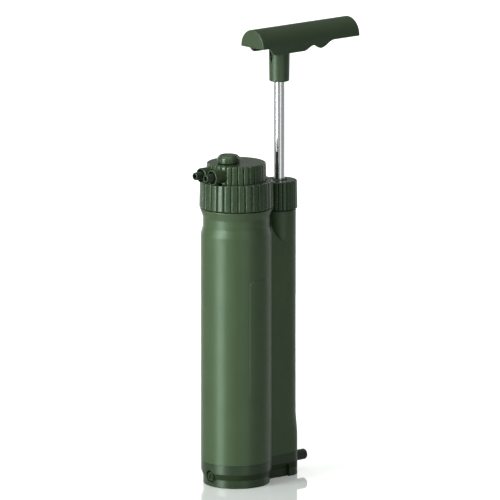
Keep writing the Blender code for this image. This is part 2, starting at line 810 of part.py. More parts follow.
def piston():
    """The piston, its seal and the screw that holds it on the rod, which can turn in it."""
    axis = (AXIS_SPACING, 0, 0)
    hole = ROD_TAIL_RADIUS + GAP
    groove = (PISTON_BOTTOM + 0.005, PISTON_BOTTOM + 0.009)
    groove_radius = PISTON_RADIUS - 0.0014
    outline = [
        (hole, PISTON_TOP),
        (PISTON_RADIUS - EDGE, PISTON_TOP),
        (PISTON_RADIUS, PISTON_TOP - EDGE),
        (PISTON_RADIUS, groove[1]),
        (groove_radius, groove[1]),
        (groove_radius, groove[0]),
        (PISTON_RADIUS, groove[0]),
        (PISTON_RADIUS, PISTON_BOTTOM + EDGE),
        (PISTON_RADIUS - EDGE, PISTON_BOTTOM),
        (0.0046, PISTON_BOTTOM),
        (0.0046, PISTON_BOTTOM + 0.0035),
        (hole, PISTON_BOTTOM + 0.0035),
    ]
    part(turned("piston", outline, axis), BLACK, 0.45)
    low, high = groove[0] + GAP, groove[1] - GAP
    inner = groove_radius + GAP
    outer = PUMP_BORE - GAP / 2
    seal = [
        (inner, high),
        (outer - 0.0008, high),
        (outer, high - 0.0008),
        (outer, low + 0.0008),
        (outer - 0.0008, low),
        (inner, low),
    ]
    part(turned("piston_seal", seal, axis), RED, 0.6)
    head_top = PISTON_BOTTOM + 0.0032
    screw = [
        (0, PISTON_TOP - 0.0035),
        (0.0014, PISTON_TOP - 0.0035),
        (0.0014, head_top),
        (0.0042, head_top),
        (0.0042, PISTON_BOTTOM + 0.0010),
        (0.0036, PISTON_BOTTOM + 0.0004),
        (0, PISTON_BOTTOM + 0.0004),
    ]
    hexagon = plate("hex_socket", [circle(0.0016, 6)], PISTON_BOTTOM - 0.001, PISTON_BOTTOM + 0.002, axis)
    part(combine(turned("piston_screw", screw, axis), "DIFFERENCE", hexagon), STEEL, 0.3, 1.0)


def skirt_outline():
    """The side view of the handle: a deep skirt round the neck, a finger groove, a bump, then straight ends."""
    above = HANDLE_APEX_Z + 0.01
    # How far the lower edge hangs under the handle's ends, at distances from the rod
    knots = [
        (-HANDLE_SHORT_ARM - 0.001, 0),
        (-0.017, 0),
        (-0.011, SKIRT_DEEP),
        (0.0108, SKIRT_DEEP),
        (0.0190, SKIRT_GROOVE),
        (0.0254, SKIRT_BUMP),
        (0.0365, 0),
        (HANDLE_LONG_ARM + 0.001, 0),
    ]
    points = [(knots[0][0], HANDLE_END_Z)]
    for (start, from_depth), (end, to_depth) in zip(knots, knots[1:]):
        count = 1 if from_depth == to_depth else 5
        for i in range(1, count + 1):
            share = i / count
            eased = (1 - math.cos(math.pi * share)) / 2
            depth = from_depth + (to_depth - from_depth) * eased
            points.append((start + (end - start) * share, HANDLE_END_Z - depth))
    return points + [(points[-1][0], above), (points[0][0], above)]


def half_round(name, half_width, start, end, apex, low):
    """A bar along X with a half-round top and straight sides down to low."""
    spring_line = apex - half_width
    profile = [(half_width, low)] + arc(0, spring_line, half_width, half_width, 0, 180, 20) + [(-half_width, low)]
    return plate(name, [profile], start, end, (AXIS_SPACING, 0, 0), (math.pi / 2, 0, math.pi / 2))


def t_handle():
    """The hollow half-round handle with its neck, made from one moulding."""
    low = HANDLE_END_Z - 0.010
    body = half_round("t_handle", HANDLE_HALF_WIDTH, -HANDLE_SHORT_ARM, HANDLE_LONG_ARM, HANDLE_APEX_Z, low)
    soft_edges = body.modifiers.new("soft_edges", "BEVEL")
    soft_edges.width = EDGE
    soft_edges.segments = 1
    soft_edges.limit_method = "ANGLE"
    combine(body, "INTERSECT", upright_plate("skirt", skirt_outline(), 0.02, x=AXIS_SPACING), solver="MANIFOLD")
    inside = half_round(
        "handle_hollow",
        HANDLE_HALF_WIDTH - HANDLE_WALL,
        -HANDLE_SHORT_ARM + HANDLE_WALL,
        HANDLE_LONG_ARM - HANDLE_WALL,
        HANDLE_APEX_Z - HANDLE_WALL,
        low - 0.001,
    )
    combine(body, "DIFFERENCE", inside, solver="MANIFOLD")
    neck = [
        (0, HANDLE_APEX_Z - 2 * HANDLE_WALL),
        (NECK_RADIUS_HIGH, HANDLE_APEX_Z - 2 * HANDLE_WALL),
        (NECK_RADIUS_HIGH, HANDLE_END_Z - SKIRT_DEEP - 0.0010),
        (NECK_RADIUS_LOW, NECK_BOTTOM_Z + EDGE),
        (NECK_RADIUS_LOW - EDGE, NECK_BOTTOM_Z),
        (0, NECK_BOTTOM_Z),
    ]
    axis = (AXIS_SPACING, 0, 0)
    combine(body, "UNION", turned("handle_neck", neck, axis), *handle_ribs(), solver="MANIFOLD")
    bore = ROD_RADIUS + GAP
    insert = 0.0052
    socket = [
        (0, 0.2842),
        (insert, 0.2842),
        (insert, 0.2700 - GAP),
        (bore, 0.2700 - GAP),
        (bore, NECK_BOTTOM_Z - GAP),
        (0, NECK_BOTTOM_Z - GAP),
    ]
    notch = [(-0.00165, 0.2797), (0, 0.2732), (0.00165, 0.2797)]
    notch_cutter = plate("neck_notch", [notch], -0.0080, -0.0053, axis, (math.pi / 2, 0, math.pi / 2))
    combine(body, "DIFFERENCE", turned("insert_socket", socket, axis), notch_cutter, solver="MANIFOLD")
    part(body, DARK_GREEN, 0.45)
    ring = [
        (bore, 0.2839),
        (insert - GAP, 0.2839),
        (insert - GAP, 0.2780),
        (insert - 2 * GAP, 0.2776),
        (insert - 2 * GAP, 0.2764),
        (insert - GAP, 0.2760),
        (insert - GAP, 0.2700),
        (bore, 0.2700),
    ]
    part(turned("handle_insert", ring, axis), BRASS, 0.35, 1.0)


def handle_ribs():
    """Thin cross ribs that stiffen the long arm."""
    ribs = []
    for distance in (0.022, 0.034, 0.046):
        profile = [(-0.0105, 0.2880), (0.0105, 0.2880)] + arc(0, 0.2856, 0.0100, 0.0100, 14, 166, 8)
        rib = plate(
            "handle_rib",
            [profile],
            distance - 0.0006,
            distance + 0.0006,
            (AXIS_SPACING, 0, 0),
            (math.pi / 2, 0, math.pi / 2),
        )
        ribs.append(rib)
    return ribs


def check_valve(prefix, x, seat_top):
    """The ball, spring and cage that stand on a valve seat."""
    at = (x, 0, 0)
    ball_centre = seat_top + math.sqrt(BALL_RADIUS**2 - SEAT_HOLE**2) + BALL_LIFT
    bpy.ops.mesh.primitive_uv_sphere_add(segments=12, ring_count=7, radius=BALL_RADIUS)
    ball_mesh = bpy.context.object.data
    bpy.data.objects.remove(bpy.context.object, do_unlink=True)
    ball_mesh.shade_smooth()
    part(place(prefix + "_ball", ball_mesh, (x, 0, ball_centre)), STEEL, 0.2, 1.0)
    base = seat_top + GAP
    roof = base + CAGE_HEIGHT
    ceiling = roof - CAGE_ROOF
    cage = turned(
        prefix + "_cage",
        [(0.0016, roof), (CAGE_RADIUS, roof), (CAGE_RADIUS, base), (CAGE_BORE, base), (CAGE_BORE, ceiling), (0.0016, ceiling)],
        at,
    )
    windows = []
    for turn in range(2):
        outline = rounded_box(-0.0022, 0.0022, base + 0.0015, ceiling - 0.0010, 0.0008)
        window = upright_plate("cage_window", outline, CAGE_RADIUS + 0.001, x=x)
        window.rotation_euler = (math.pi / 2, 0, turn * math.pi / 2)
        windows.append(window)
    part(combine(cage, "DIFFERENCE", *windows), NATURAL, 0.5)
    low = ball_centre + BALL_RADIUS + SPRING_WIRE + GAP
    coil(prefix + "_spring", x, low, ceiling - SPRING_WIRE - GAP)


def coil(name, x, low, high):
    """A helical spring with its ends cut square."""
    curve = bpy.data.curves.new(name, "CURVE")
    curve.dimensions = "3D"
    curve.bevel_depth = SPRING_WIRE
    curve.bevel_resolution = 0
    curve.use_fill_caps = True
    count = SPRING_TURNS * 8
    spline = curve.splines.new("POLY")
    spline.points.add(count)
    for i, point in enumerate(spline.points):
        angle = 2 * math.pi * SPRING_TURNS * i / count
        height = low + (high - low) * i / count
        point.co = (SPRING_RADIUS * math.cos(angle), SPRING_RADIUS * math.sin(angle), height, 1)
    part(place(name, curve, (x, 0, 0)), STEEL, 0.25, 1.0)


def valves():
    """The inlet valve under the pump barrel, and the transfer valve that feeds the main barrel."""
    low, high = INLET_SEAT_Z
    seat = [
        (SEAT_HOLE, high),
        (VALVE_POCKET - GAP, high),
        (VALVE_POCKET - GAP, low),
        (SEAT_HOLE, low),
    ]
    part(turned("inlet_valve_seat", seat, (AXIS_SPACING, 0, 0)), NATURAL, 0.5)
    check_valve("inlet_valve", AXIS_SPACING, high)

    low, high = TRANSFER_Z
    chamber = TRANSFER_RADIUS - 0.0012
    axis = (TRANSFER_X, 0, 0)
    body = turned(
        "transfer_valve_body",
        [(0, high), (TRANSFER_RADIUS, high), (TRANSFER_RADIUS, low), (0, low)],
        axis,
    )
    port = (TRANSFER_X, 0, TRANSFER_PORT_Z)
    nipple = bar("nipple", 0.0024, 0.004, 0.0270 - TRANSFER_X, port)
    hollow = [
        (0, high + GAP),
        (SEAT_HOLE, high + GAP),
        (SEAT_HOLE, high - 0.0016),
        (chamber, high - 0.0016),
        (chamber, low + 0.0014),
        (0, low + 0.0014),
    ]
    nipple_bore = bar("nipple_bore", 0.0015, 0.003, 0.0280 - TRANSFER_X, port)
    combine(body, "UNION", nipple)
    combine(body, "DIFFERENCE", turned("valve_chamber", hollow, axis), nipple_bore)
    part(body, NATURAL, 0.5)
    check_valve("transfer_valve", TRANSFER_X, high)


def cartridge():
    """The replaceable cartridge: a windowed case that holds the pad, the carbon and the hollow fibres."""
    low = SEAM_Z + UPSTAND_HEIGHT + GAP
    case = turned(
        "cartridge_case",
        [(CASE_BORE, CASE_TOP), (CASE_RADIUS, CASE_TOP), (CASE_RADIUS, low), (CASE_BORE, low)],
        steps=MEDIUM_STEPS,
    )
    windows = []
    for i in range(CASE_WINDOWS // 2):
        outline = rounded_box(-0.0032, 0.0032, low - 0.005, CASE_WINDOW_TOP, 0.0015)
        window = upright_plate("case_window", outline, CASE_RADIUS + 0.001)
        window.rotation_euler = (math.pi / 2, 0, math.pi / 2 + i * 2 * math.pi / CASE_WINDOWS)
        windows.append(window)
    part(combine(case, "DIFFERENCE", *windows), CLEAR, 0.2)

    screen_low, pad_low, pad_top, carbon_top, fibre_low, potting_low, cap_low = STAGE_Z
    for name, base in (("inlet_screen", screen_low), ("middle_screen", carbon_top + GAP)):
        part(plate(name, screen_outlines(), base, base + pad_low - screen_low - GAP), NATURAL, 0.5)
    part(disc("prefilter_pad", FILL_RADIUS - GAP, pad_low, pad_top), NATURAL, 0.9)
    part(disc("carbon_core", FILL_RADIUS - GAP, pad_top + GAP, carbon_top), CHARCOAL, 0.9)
    bundle = [
        (0, potting_low - GAP),
        (0.0150, potting_low - GAP),
        *[(r, z) for r, z in arc(0.0110, fibre_low + 0.0060, 0.0040, 0.0057, 0, -90, 6)],
        (0, fibre_low + GAP),
    ]
    part(turned("fibre_bundle", bundle), NATURAL, 0.7)
    part(disc("potting_disc", FILL_RADIUS, potting_low, cap_low), CLEAR, 0.3)
    groove = (0.1892, 0.1904)
    cap = [
        (NOZZLE_BORE, NOZZLE_TOP),
        (NOZZLE_RADIUS - GAP, NOZZLE_TOP),
        (NOZZLE_RADIUS, NOZZLE_TOP - GAP),
        (NOZZLE_RADIUS, groove[1]),
        (NOZZLE_RADIUS - 0.0008, groove[1]),
        (NOZZLE_RADIUS - 0.0008, groove[0]),
        (NOZZLE_RADIUS, groove[0]),
        (NOZZLE_RADIUS, CASE_TOP),
        (FILL_RADIUS, CASE_TOP),
        (FILL_RADIUS, cap_low + GAP),
        (NOZZLE_BORE, cap_low + GAP),
    ]
    part(turned("cartridge_cap", cap), NATURAL, 0.45)
    o_ring("nozzle_o_ring", NOZZLE_RADIUS - 0.0002, 0.00045, (0, 0, sum(groove) / 2))


def disc(name, radius, low, high):
    return turned(name, [(0, high), (radius, high), (radius, low), (0, low)])


def screen_outlines():
    """A disc with a hole in its centre and a ring of holes round it."""
    outlines = [circle(FILL_RADIUS), circle(0.0022, 10)]
    for i in range(6):
        angle = 2 * math.pi * i / 6
        outlines.append(circle(0.0022, 10, 0.0095 * math.cos(angle), 0.0095 * math.sin(angle)))
    return outlines


clear_scene()
filter_parts = collection_named("pump_water_filter")
cutters = collection_named("cutters")
housing()
base_cap()
inlet_spigot()
drain_plug()
collar_ring()
outlet_head()
outlet_spigots()
vent_knob()
gland()
pump_rod()
piston()
t_handle()
valves()
cartridge()
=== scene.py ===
"""The looks of the pump water filter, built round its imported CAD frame. Lengths are in metres, +Z is up.

The origin is the centre of the main barrel's foot. +X runs from the main barrel to the pump barrel.
"""

import json
import math

import bmesh
import bpy
from mathutils import Matrix, Vector


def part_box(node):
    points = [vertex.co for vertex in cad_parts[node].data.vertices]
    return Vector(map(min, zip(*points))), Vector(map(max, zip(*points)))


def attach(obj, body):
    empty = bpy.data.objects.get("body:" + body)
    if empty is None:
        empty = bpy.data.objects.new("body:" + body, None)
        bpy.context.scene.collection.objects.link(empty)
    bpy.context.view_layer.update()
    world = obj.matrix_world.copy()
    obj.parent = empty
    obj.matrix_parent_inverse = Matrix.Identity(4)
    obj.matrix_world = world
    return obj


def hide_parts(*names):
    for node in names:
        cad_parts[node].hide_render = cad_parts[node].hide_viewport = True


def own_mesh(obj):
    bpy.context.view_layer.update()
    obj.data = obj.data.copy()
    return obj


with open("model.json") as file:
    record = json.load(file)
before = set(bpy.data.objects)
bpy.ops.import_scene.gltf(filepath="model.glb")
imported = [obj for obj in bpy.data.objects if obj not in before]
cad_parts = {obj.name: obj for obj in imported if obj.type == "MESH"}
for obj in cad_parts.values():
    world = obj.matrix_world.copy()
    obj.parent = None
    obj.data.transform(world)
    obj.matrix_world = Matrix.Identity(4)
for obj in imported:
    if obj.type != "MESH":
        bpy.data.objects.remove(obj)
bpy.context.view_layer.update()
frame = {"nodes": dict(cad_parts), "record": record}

# Resolution
LARGE_STEPS = 192
SMALL_STEPS = 96
TUBE_STEPS = 64  # hose tubes and other small turned pieces
HOLE_STEPS = 48  # bores and small cutters
FLUTE_STEPS = 16  # round the circle, for each flute
ARC_STEPS = 5  # for each rounded corner of a profile
SHARP_ANGLE = math.radians(28)
OVERLAP = 0.0005  # how far two shapes reach into each other before they are joined
CUTTER_MARGIN = 0.001  # how far a cutter runs past the face that it opens
GAP = 0.0003
SEAM_GAP = 0.00006  # what is seen of the joint between the base cap and the housing

# Barrels
AXIS_SPACING = 0.0368
SEAM_Z = 0.0155
FLOOR = 0.0028
MAIN_RADIUS = 0.0230
MAIN_BORE = 0.0208
MAIN_BORE_TOP = 0.1637  # where it begins to narrow towards the neck
FOOT_RADIUS = 0.0216
FOOT_HEIGHT = 0.0053
FOOT_CONE_TOP = 0.0093
BARREL_TOP = 0.1652
BARREL_RINGS = (0.120, 0.070)  # heights of the rings of points between the barrel's ends
WAIST_RADIUS = 0.0216
WAIST_BOTTOM = 0.1702
WAIST_TOP = 0.1764
SHOULDER_RADIUS = 0.0234
SHOULDER_Z = 0.1820
NECK_RADIUS = 0.0203
NECK_BORE = 0.0192
NECK_TOP = 0.1955
THREAD_HEIGHT = 0.0005
THREAD_PITCH = 0.0030
UPSTAND_HEIGHT = 0.0040
MAIN_CAVITY = 0.0184
PUMP_RADIUS = 0.0109
PUMP_BORE = 0.0085
PUMP_TOP = 0.1764
PUMP_NECK_RADIUS = 0.0096
PUMP_NECK_TOP = 0.1903
FOOT_POWER = 2.75  # of the superellipse that the pump barrel has for a foot
SWELL_TOP = 0.0430
SWELL_BOTTOM = 0.0240
SWELL_RINGS = 12
WEB_HALF_WIDTH = 0.01075
WEB_ROOT_FILLET = 0.0016
WEB_START = 0.0195
WEB_TOP = 0.1770
WEB_DIP = 0.0215
WEB_BOTTOM = 0.0002
WEB_BURIAL = 0.008  # how far the web's side view reaches into the main barrel
WEB_ROOT_END = (0.004, 0.002)  # how far the web's plan goes on inwards past its root, and narrows
PANEL_HALF_WIDTH = 0.0074
PANEL_BOTTOM = 0.0594
PANEL_TOP = 0.1370
PANEL_CORNER = 0.0036
PANEL_HEIGHT = 0.0004
PANEL_EDGE = 0.000216
PANEL_ROOT = 0.001  # how far it reaches into the barrel's wall
PANEL_MARGIN = 0.002  # what its window trims off each end
VALVE_POCKET = 0.0069
SUMP_RADIUS = 0.0060
VALVE_SEAT_Z = 0.0139
TRANSFER_PORT_Z = 0.0240
TRANSFER_HOLE = (0.0027, 0.0190, 0.0273)  # radius, start and end along X, for the transfer valve
FEED_HOLE = (0.0016, 0.0260, 0.0300)  # the narrower hole that goes on into the pump barrel
SPRING_RADIUS = 0.0019
SPRING_WIRE = 0.00025
SPRING_TURNS = 3
COIL_STEPS = 32  # for each turn of a spring
WIRE_STEPS = 12
FOOT_RECESS_DEPTH = 0.0023
FOOT_RECESS_TOP = 0.0066
FOOT_RECESS_PEAK = 0.0090
FOOT_RECESS_BEND = 0.0290
FOOT_RECESS_END = 0.0362
FOOT_RECESS_START = 0.0100
FOOT_RECESS_WIDTH = 0.0040  # of its cutter, outwards
FOOT_RECESS_LOW = -0.0100
FOOT_KEEP = 0.0200  # half the height of what keeps the recess off the foot

# Ports low on the base
INLET_Z = 0.0098
INLET_RADIUS = 0.0035
INLET_BORE = 0.0020
INLET_STUB_RADIUS = 0.0030
INLET_REACH = 0.0220
INLET_BEAD = 0.0005
INLET_BEAD_WIDTH = 0.0006
DRAIN_Z = 0.0069
DRAIN_BOSS_RADIUS = 0.0045
DRAIN_RECESS_RADIUS = 0.0040
DRAIN_FACE = 0.0220
DRAIN_HEAD_RADIUS = 0.0030
DRAIN_SHANK_RADIUS = 0.0022
DRAIN_SEAT = 0.0198
DRAIN_HEAD_BACK = 0.0213
DRAIN_SHANK_END = 0.0174
SLOT_HALF_LENGTH = 0.0020
SLOT_HALF_WIDTH = 0.0004
SLOT_DEPTH = 0.0004
SLOT_ANGLE = math.radians(65)

# Collar, head and ports
COLLAR_RADIUS = 0.0240
COLLAR_TOP_RADIUS = 0.0236
COLLAR_BORE = 0.0212
COLLAR_BOTTOM = 0.1825
COLLAR_TOP = 0.2000
COLLAR_LIP_Z = 0.1983
LARGE_FLUTES = 31
FLUTE_DEPTH = 0.0008
FLUTE_ROOT = 0.0010  # how far in from a rim its flutes reach
RIDGE_POWER = 6  # a higher power makes flatter ridges and narrower valleys
HEAD_RADIUS = 0.0195
HEAD_TOP_RADIUS = 0.0192
HEAD_TOP = 0.2116
HEAD_FLANGE_RADIUS = 0.0207
HEAD_PLUG_RADIUS = 0.0188
HEAD_PLUG_BOTTOM = 0.1850
HEAD_GROOVE = (0.1882, 0.1906)
HEAD_GROOVE_DEPTH = 0.0018
HEAD_UNDERCUT = 0.0011  # at the foot of the drum
HEAD_UNDERCUT_HEIGHT = 0.0004
POCKET_OUTER = 0.0160  # the ring-shaped hollow in the plug
POCKET_INNER = 0.0070
POCKET_TOP = 0.1940
EDGE = 0.0007
PORT_Y = 0.0053
PORT_Z = 0.2051
PORT_RADIUS = 0.0048
PORT_FACE = 0.0256
PORT_RECESS_RADIUS = 0.0041
PORT_RECESS_END = 0.0195
PORT_ROOT = 0.0100
PORT_BORE_START = 0.0030
SPIGOT_TIP = 0.0309
SPIGOT_ROOT_RADIUS = 0.0033
SPIGOT_TIP_RADIUS = 0.0024
SPIGOT_BORE = 0.00145
SPIGOT_FLANGE = 0.0015
SPIGOT_ROOT = 0.0020  # from its seat
PLENUM_RADIUS = 0.0068
PLENUM_BOTTOM = 0.1985
PLENUM_TOP = 0.2085
SOCKET_RADIUS = 0.0047
KNOB_X = -0.0065
KNOB_RADIUS = 0.0074
KNOB_BOTTOM = 0.2120
KNOB_TOP = 0.2172
KNOB_DISH = 0.0004
KNOB_CROWN = (  # radius, depth below the top and corner radius, from the dish outwards
    (0.0043, KNOB_DISH, 0.0004),
    (0.0047, 0, 0.0003),
    (0.0058, 0.0002, 0.0006),
    (KNOB_RADIUS, 0.0018, 0.0012),
)
KNOB_SOCKET_RADIUS = 0.0019
KNOB_SOCKET_DEPTH = 0.0027
KNOB_FLUTES = 8
KNOB_FLUTE_DEPTH = 0.00016
KNOB_FLUTE_ROOT = 0.0012
STEM_HOLE = 0.0026
STEM_HOLE_BOTTOM = 0.2025

# Gland, rod and handle
NUT_RADIUS = 0.0119
NUT_TOP_RADIUS = 0.0116
NUT_BOTTOM = 0.1770
NUT_TOP = 0.1954
NUT_BORE = 0.0103
NUT_LIP_Z = 0.1931
NUT_MOUTH = 0.0054
NUT_FLUTES = 24
NUT_FLUTE_DEPTH = 0.00056
NUT_FLUTE_ROOT = 0.0009
WIPER_LIP = 0.0005  # width of the wiper's raised lip at its top
WIPER_SINK = 0.0009  # depth of the rest of it in the nut's mouth
ROD_RADIUS = 0.0036
ROD_CLEARANCE = 0.00015
ROD_BOTTOM = 0.1670
ROD_SHOULDER = 0.1777
ROD_TOP = 0.2836
ROD_TAIL_RADIUS = 0.0024
ROD_THREAD_RADIUS = 0.0017
ROD_THREAD_TOP = 0.1754
NECK_BOTTOM_Z = 0.2604
NECK_RADIUS_LOW = 0.00655
NECK_RADIUS_HIGH = 0.0068
NECK_TAPER_TOP = 0.2788
HANDLE_HALF_WIDTH = 0.0111
HANDLE_END_Z = 0.2845
HANDLE_APEX_Z = 0.2962
HANDLE_SHORT_ARM = 0.0233
HANDLE_LONG_ARM = 0.0599
HANDLE_WALL = 0.0020
HANDLE_STOCK = 0.0100  # how far the uncut bar reaches below the arms, and its side view above them
HANDLE_EDGE = 0.0007
HANDLE_INNER_EDGE = 0.0003
HANDLE_ARC_STEPS = 64
RIB_PLACES = (0.022, 0.034, 0.046)  # along the long arm
RIB_HALF_THICKNESS = 0.0006
RIB_HALF_WIDTH = 0.0105
RIB_BOTTOM = 0.2880
RIB_ARC_Z = 0.2856
RIB_ARC_RADIUS = 0.0100
RIB_ARC_START = 14  # degrees above the horizontal
NOTCH = ((-0.0022, 0.2802), (0.0002, 0.2722), (0.0022, 0.2802))  # across and up, in the neck's short side
NOTCH_SPAN = (-0.0080, -0.0053)
SKIRT_DEEP = 0.0047
SKIRT_GROOVE = 0.0018
SKIRT_BUMP = 0.0043
SKIRT_STEPS = 16
INSERT_SOCKET = 0.0052
INSERT_BOTTOM = 0.2697
INSERT_TOP = 0.2842

# Camera: a long lens, seen from the left of the front and a little above
CAMERA_AZIMUTH = math.radians(-41)
CAMERA_ELEVATION = 11.5
CAMERA_DISTANCE = 5.0
VIEW_HEIGHT = 0.325  # what the picture takes in, at the object
AIM_RIGHT = 0.00884  # from the foot's centre to the middle of the picture
AIM_UP = 0.15054
SENSOR = 36.0

# Studio
OBJECT_MIDDLE = Vector((0.012, 0, 0.14))
FLOOR_SIZE = 9.0
BACKDROP_DIRECTION = (180, CAMERA_ELEVATION)
WORLD_EDGE = (0.970, 0.990)  # cosines to the backdrop's middle, where the world is dim and bright
WORLD_DIM = 0.20
WORLD_BRIGHT = 0.28
SUN = (1.5, 70, -60, 75)  # strength, spread, azimuth and elevation
SOFT_BOXES = (  # name, azimuth, elevation, distance, size, power, colour
    ("left_box", -53, 8, 1.4, (0.62, 1.8), 45, (0.94, 1.0, 0.97)),
    ("front_card", 29, 10, 2.0, (0.9, 1.5), 6, (1, 1, 1)),
    ("left_rim", -150, 5, 1.6, (0.9, 1.6), 4.4, (1, 1, 1)),
    ("right_rim", 135, 5, 1.6, (1.2, 1.6), 4.5, (1, 1, 1)),
    ("low_card", 180, -5.7, 0.6, (0.7, 0.17), 0.49, (1, 1, 1)),
)

# Colours, linear
GREEN = (0.041, 0.067, 0.029)
HANDLE_GREEN = (0.031, 0.049, 0.0225)
PORT_GREEN = (0.014, 0.024, 0.012)
PLASTIC_TINT = (0.80, 1.00, 0.87, 1)  # of the plastic's reflections
SPECULAR = 0.5
# painted shade: the low specular level of the base cap's waist above the foot, so that band reads dark
WAIST_SHADE_SPECULAR = 0.12
WAIST_FOOT = (0.0050, 0.0056)  # heights between which the painted shade in the base cap's waist fades in
WAIST_HEAD = (0.0090, 0.0096)  # and between which it fades out
FLOOR_COLOR = (0.60, 0.62, 0.60)
FLOOR_BOUNCE = (0.45, 0.45, 0.45)
FLOOR_GLOW = (0.17, 1.00)  # painted light, for the camera only: near the object and further away
GLOW_REACH = (0.15, 0.45)  # distances from the object between which the glow grows
# the glow's green tint is a faint painted reflection of the green object
GLOW_COLOR = (0.95, 1.00, 0.965, 1)
FLOOR_IOR = 2.2


# ---------------------------------------------------------------- shapes


def filleted(points, arc_steps=ARC_STEPS):
    """An open or closed outline whose corners are rounded. A point is (x, y) or (x, y, corner radius)."""
    outline = []
    count = len(points)
    for i, point in enumerate(points):
        corner = Vector(point[:2])
        radius = point[2] if len(point) > 2 else 0
        before = Vector(points[i - 1][:2])
        after = Vector(points[(i + 1) % count][:2])
        if radius <= 0:
            outline.append(tuple(corner))
            continue
        back = (before - corner).normalized()
        ahead = (after - corner).normalized()
        half = back.angle(ahead) / 2
        reach = min(radius / math.tan(half), 0.49 * min((before - corner).length, (after - corner).length))
        radius = reach * math.tan(half)
        centre = corner + (back + ahead).normalized() * (radius / math.sin(half))
        start = corner + back * reach - centre
        turn = start.angle_signed(corner + ahead * reach - centre)
        for step in range(arc_steps + 1):
            spun = start.copy()
            spun.rotate(Matrix.Rotation(-turn * step / arc_steps, 2))
            outline.append(tuple(centre + spun))
    return outline


def arc(centre_x, centre_y, radius_x, radius_y, start, end, count):
    """Points on an ellipse, from start to end degrees."""
    points = []
    for i in range(count + 1):
        angle = math.radians(start + (end - start) * i / count)
        points.append((centre_x + radius_x * math.cos(angle), centre_y + radius_y * math.sin(angle)))
    return points


def circle(radius, count):
    return arc(0, 0, radius, radius, 0, 360, count)[:-1]


def object_of(name, shape, matrix=Matrix.Identity(4)):
    """Makes an object from a bmesh, with its faces turned out."""
    bmesh.ops.transform(shape, matrix=matrix, verts=shape.verts)
    bmesh.ops.remove_doubles(shape, verts=shape.verts, dist=1e-7)
    bmesh.ops.recalc_face_normals(shape, faces=shape.faces)
    mesh = bpy.data.meshes.new(name)
    shape.to_mesh(mesh)
    shape.free()
    obj = bpy.data.objects.new(name, mesh)
    bpy.context.scene.collection.objects.link(obj)
    return obj


def revolved(name, outline, steps=SMALL_STEPS, matrix=Matrix.Identity(4), press=None):
    """Turns an outline of (radius, height) points about Z.

    press(angle, radius) gives how far a point is pressed in.
    """
    shape = bmesh.new()
    rings = []
    for radius, height in outline:
        if radius < 1e-7:
            rings.append([shape.verts.new((0, 0, height))] * steps)
            continue
        ring = []
        for i in range(steps):
            angle = 2 * math.pi * i / steps
            reach = radius - (press(angle, radius) if press else 0)
            ring.append(shape.verts.new((reach * math.cos(angle), reach * math.sin(angle), height)))
        rings.append(ring)
    if outline[0][0] > 1e-7:
        rings.append(rings[0])
    for upper, lower in zip(rings, rings[1:]):
        for i in range(steps):
            corners = [upper[i], upper[(i + 1) % steps], lower[(i + 1) % steps], lower[i]]
            distinct = list(dict.fromkeys(corners))
            if len(distinct) > 2:
                shape.faces.new(distinct)
    return object_of(name, shape, matrix)


def prism(name, outline, low, high, matrix=Matrix.Identity(4)):
    """A solid with this outline in its local XY plane, from low to high along its local Z."""
    shape = bmesh.new()
    lower, upper = [[shape.verts.new((x, y, height)) for x, y in outline] for height in (low, high)]
    shape.faces.new(lower[::-1])
    shape.faces.new(upper)
    count = len(outline)
    for i in range(count):
        shape.faces.new([lower[i], lower[(i + 1) % count], upper[(i + 1) % count], upper[i]])
    return object_of(name, shape, matrix)


def coiled(name, radius, wire, turns, low, high, matrix):
    """A round wire wound about Z into a spring, from low to high."""
    shape = bmesh.new()
    count = turns * COIL_STEPS
    rings = []
    for i in range(count + 1):
        angle = 2 * math.pi * turns * i / count
        height = low + wire + (high - low - 2 * wire) * i / count
        section = [(radius + x, height + y) for x, y in circle(wire, WIRE_STEPS)]
        rings.append([shape.verts.new((x * math.cos(angle), x * math.sin(angle), z)) for x, z in section])
    shape.faces.new(rings[0])
    shape.faces.new(rings[-1][::-1])
    for first, second in zip(rings, rings[1:]):
        for k in range(WIRE_STEPS):
            shape.faces.new([first[k], second[k], second[k - 1], first[k - 1]])
    return object_of(name, shape, matrix)


def along(direction, location):
    """A matrix that turns local Z to a direction and moves to a location."""
    turn = Vector(direction).to_track_quat("Z", "Y").to_matrix().to_4x4()
    return Matrix.Translation(location) @ turn


# Local X stays X and local Y becomes world Z, so an outline in XZ can be drawn as it is seen from the front.
FRONT = Matrix.Rotation(math.pi / 2, 4, "X")
# Local X becomes world Y and local Y becomes world Z, for a cross-section of a bar along X.
ACROSS = Matrix(((0, 0, 1, 0), (1, 0, 0, 0), (0, 1, 0, 0), (0, 0, 0, 1)))
PUMP_AXIS = Matrix.Translation((AXIS_SPACING, 0, 0))


def combined(obj, operation, *others):
    """Joins or cuts obj with the others, which are used up."""
    for other in others:
        modifier = obj.modifiers.new(operation, "BOOLEAN")
        modifier.operation = operation
        modifier.object = other
        modifier.solver = "MANIFOLD"
        baked(obj)
        bpy.data.objects.remove(other, do_unlink=True)
    return obj


def baked(obj):
    """Applies the modifiers."""
    graph = bpy.context.evaluated_depsgraph_get()
    mesh = bpy.data.meshes.new_from_object(obj.evaluated_get(graph))
    obj.modifiers.clear()
    obj.data = mesh
    return obj


def cleaned(obj):
    """Melts the slivers that a Boolean leaves."""
    shape = bmesh.new()
    shape.from_mesh(obj.data)
    bmesh.ops.dissolve_degenerate(shape, dist=2e-6, edges=shape.edges)
    shape.to_mesh(obj.data)
    shape.free()
    return obj


def softened(obj, width, segments=2, angle=40):
    """Rounds the edges sharper than angle."""
    bevel = obj.modifiers.new("soft_edges", "BEVEL")
    bevel.width = width
    bevel.segments = segments
    bevel.limit_method = "ANGLE"
    bevel.angle_limit = math.radians(angle)
    bevel.miter_outer = "MITER_ARC"
    return baked(obj)


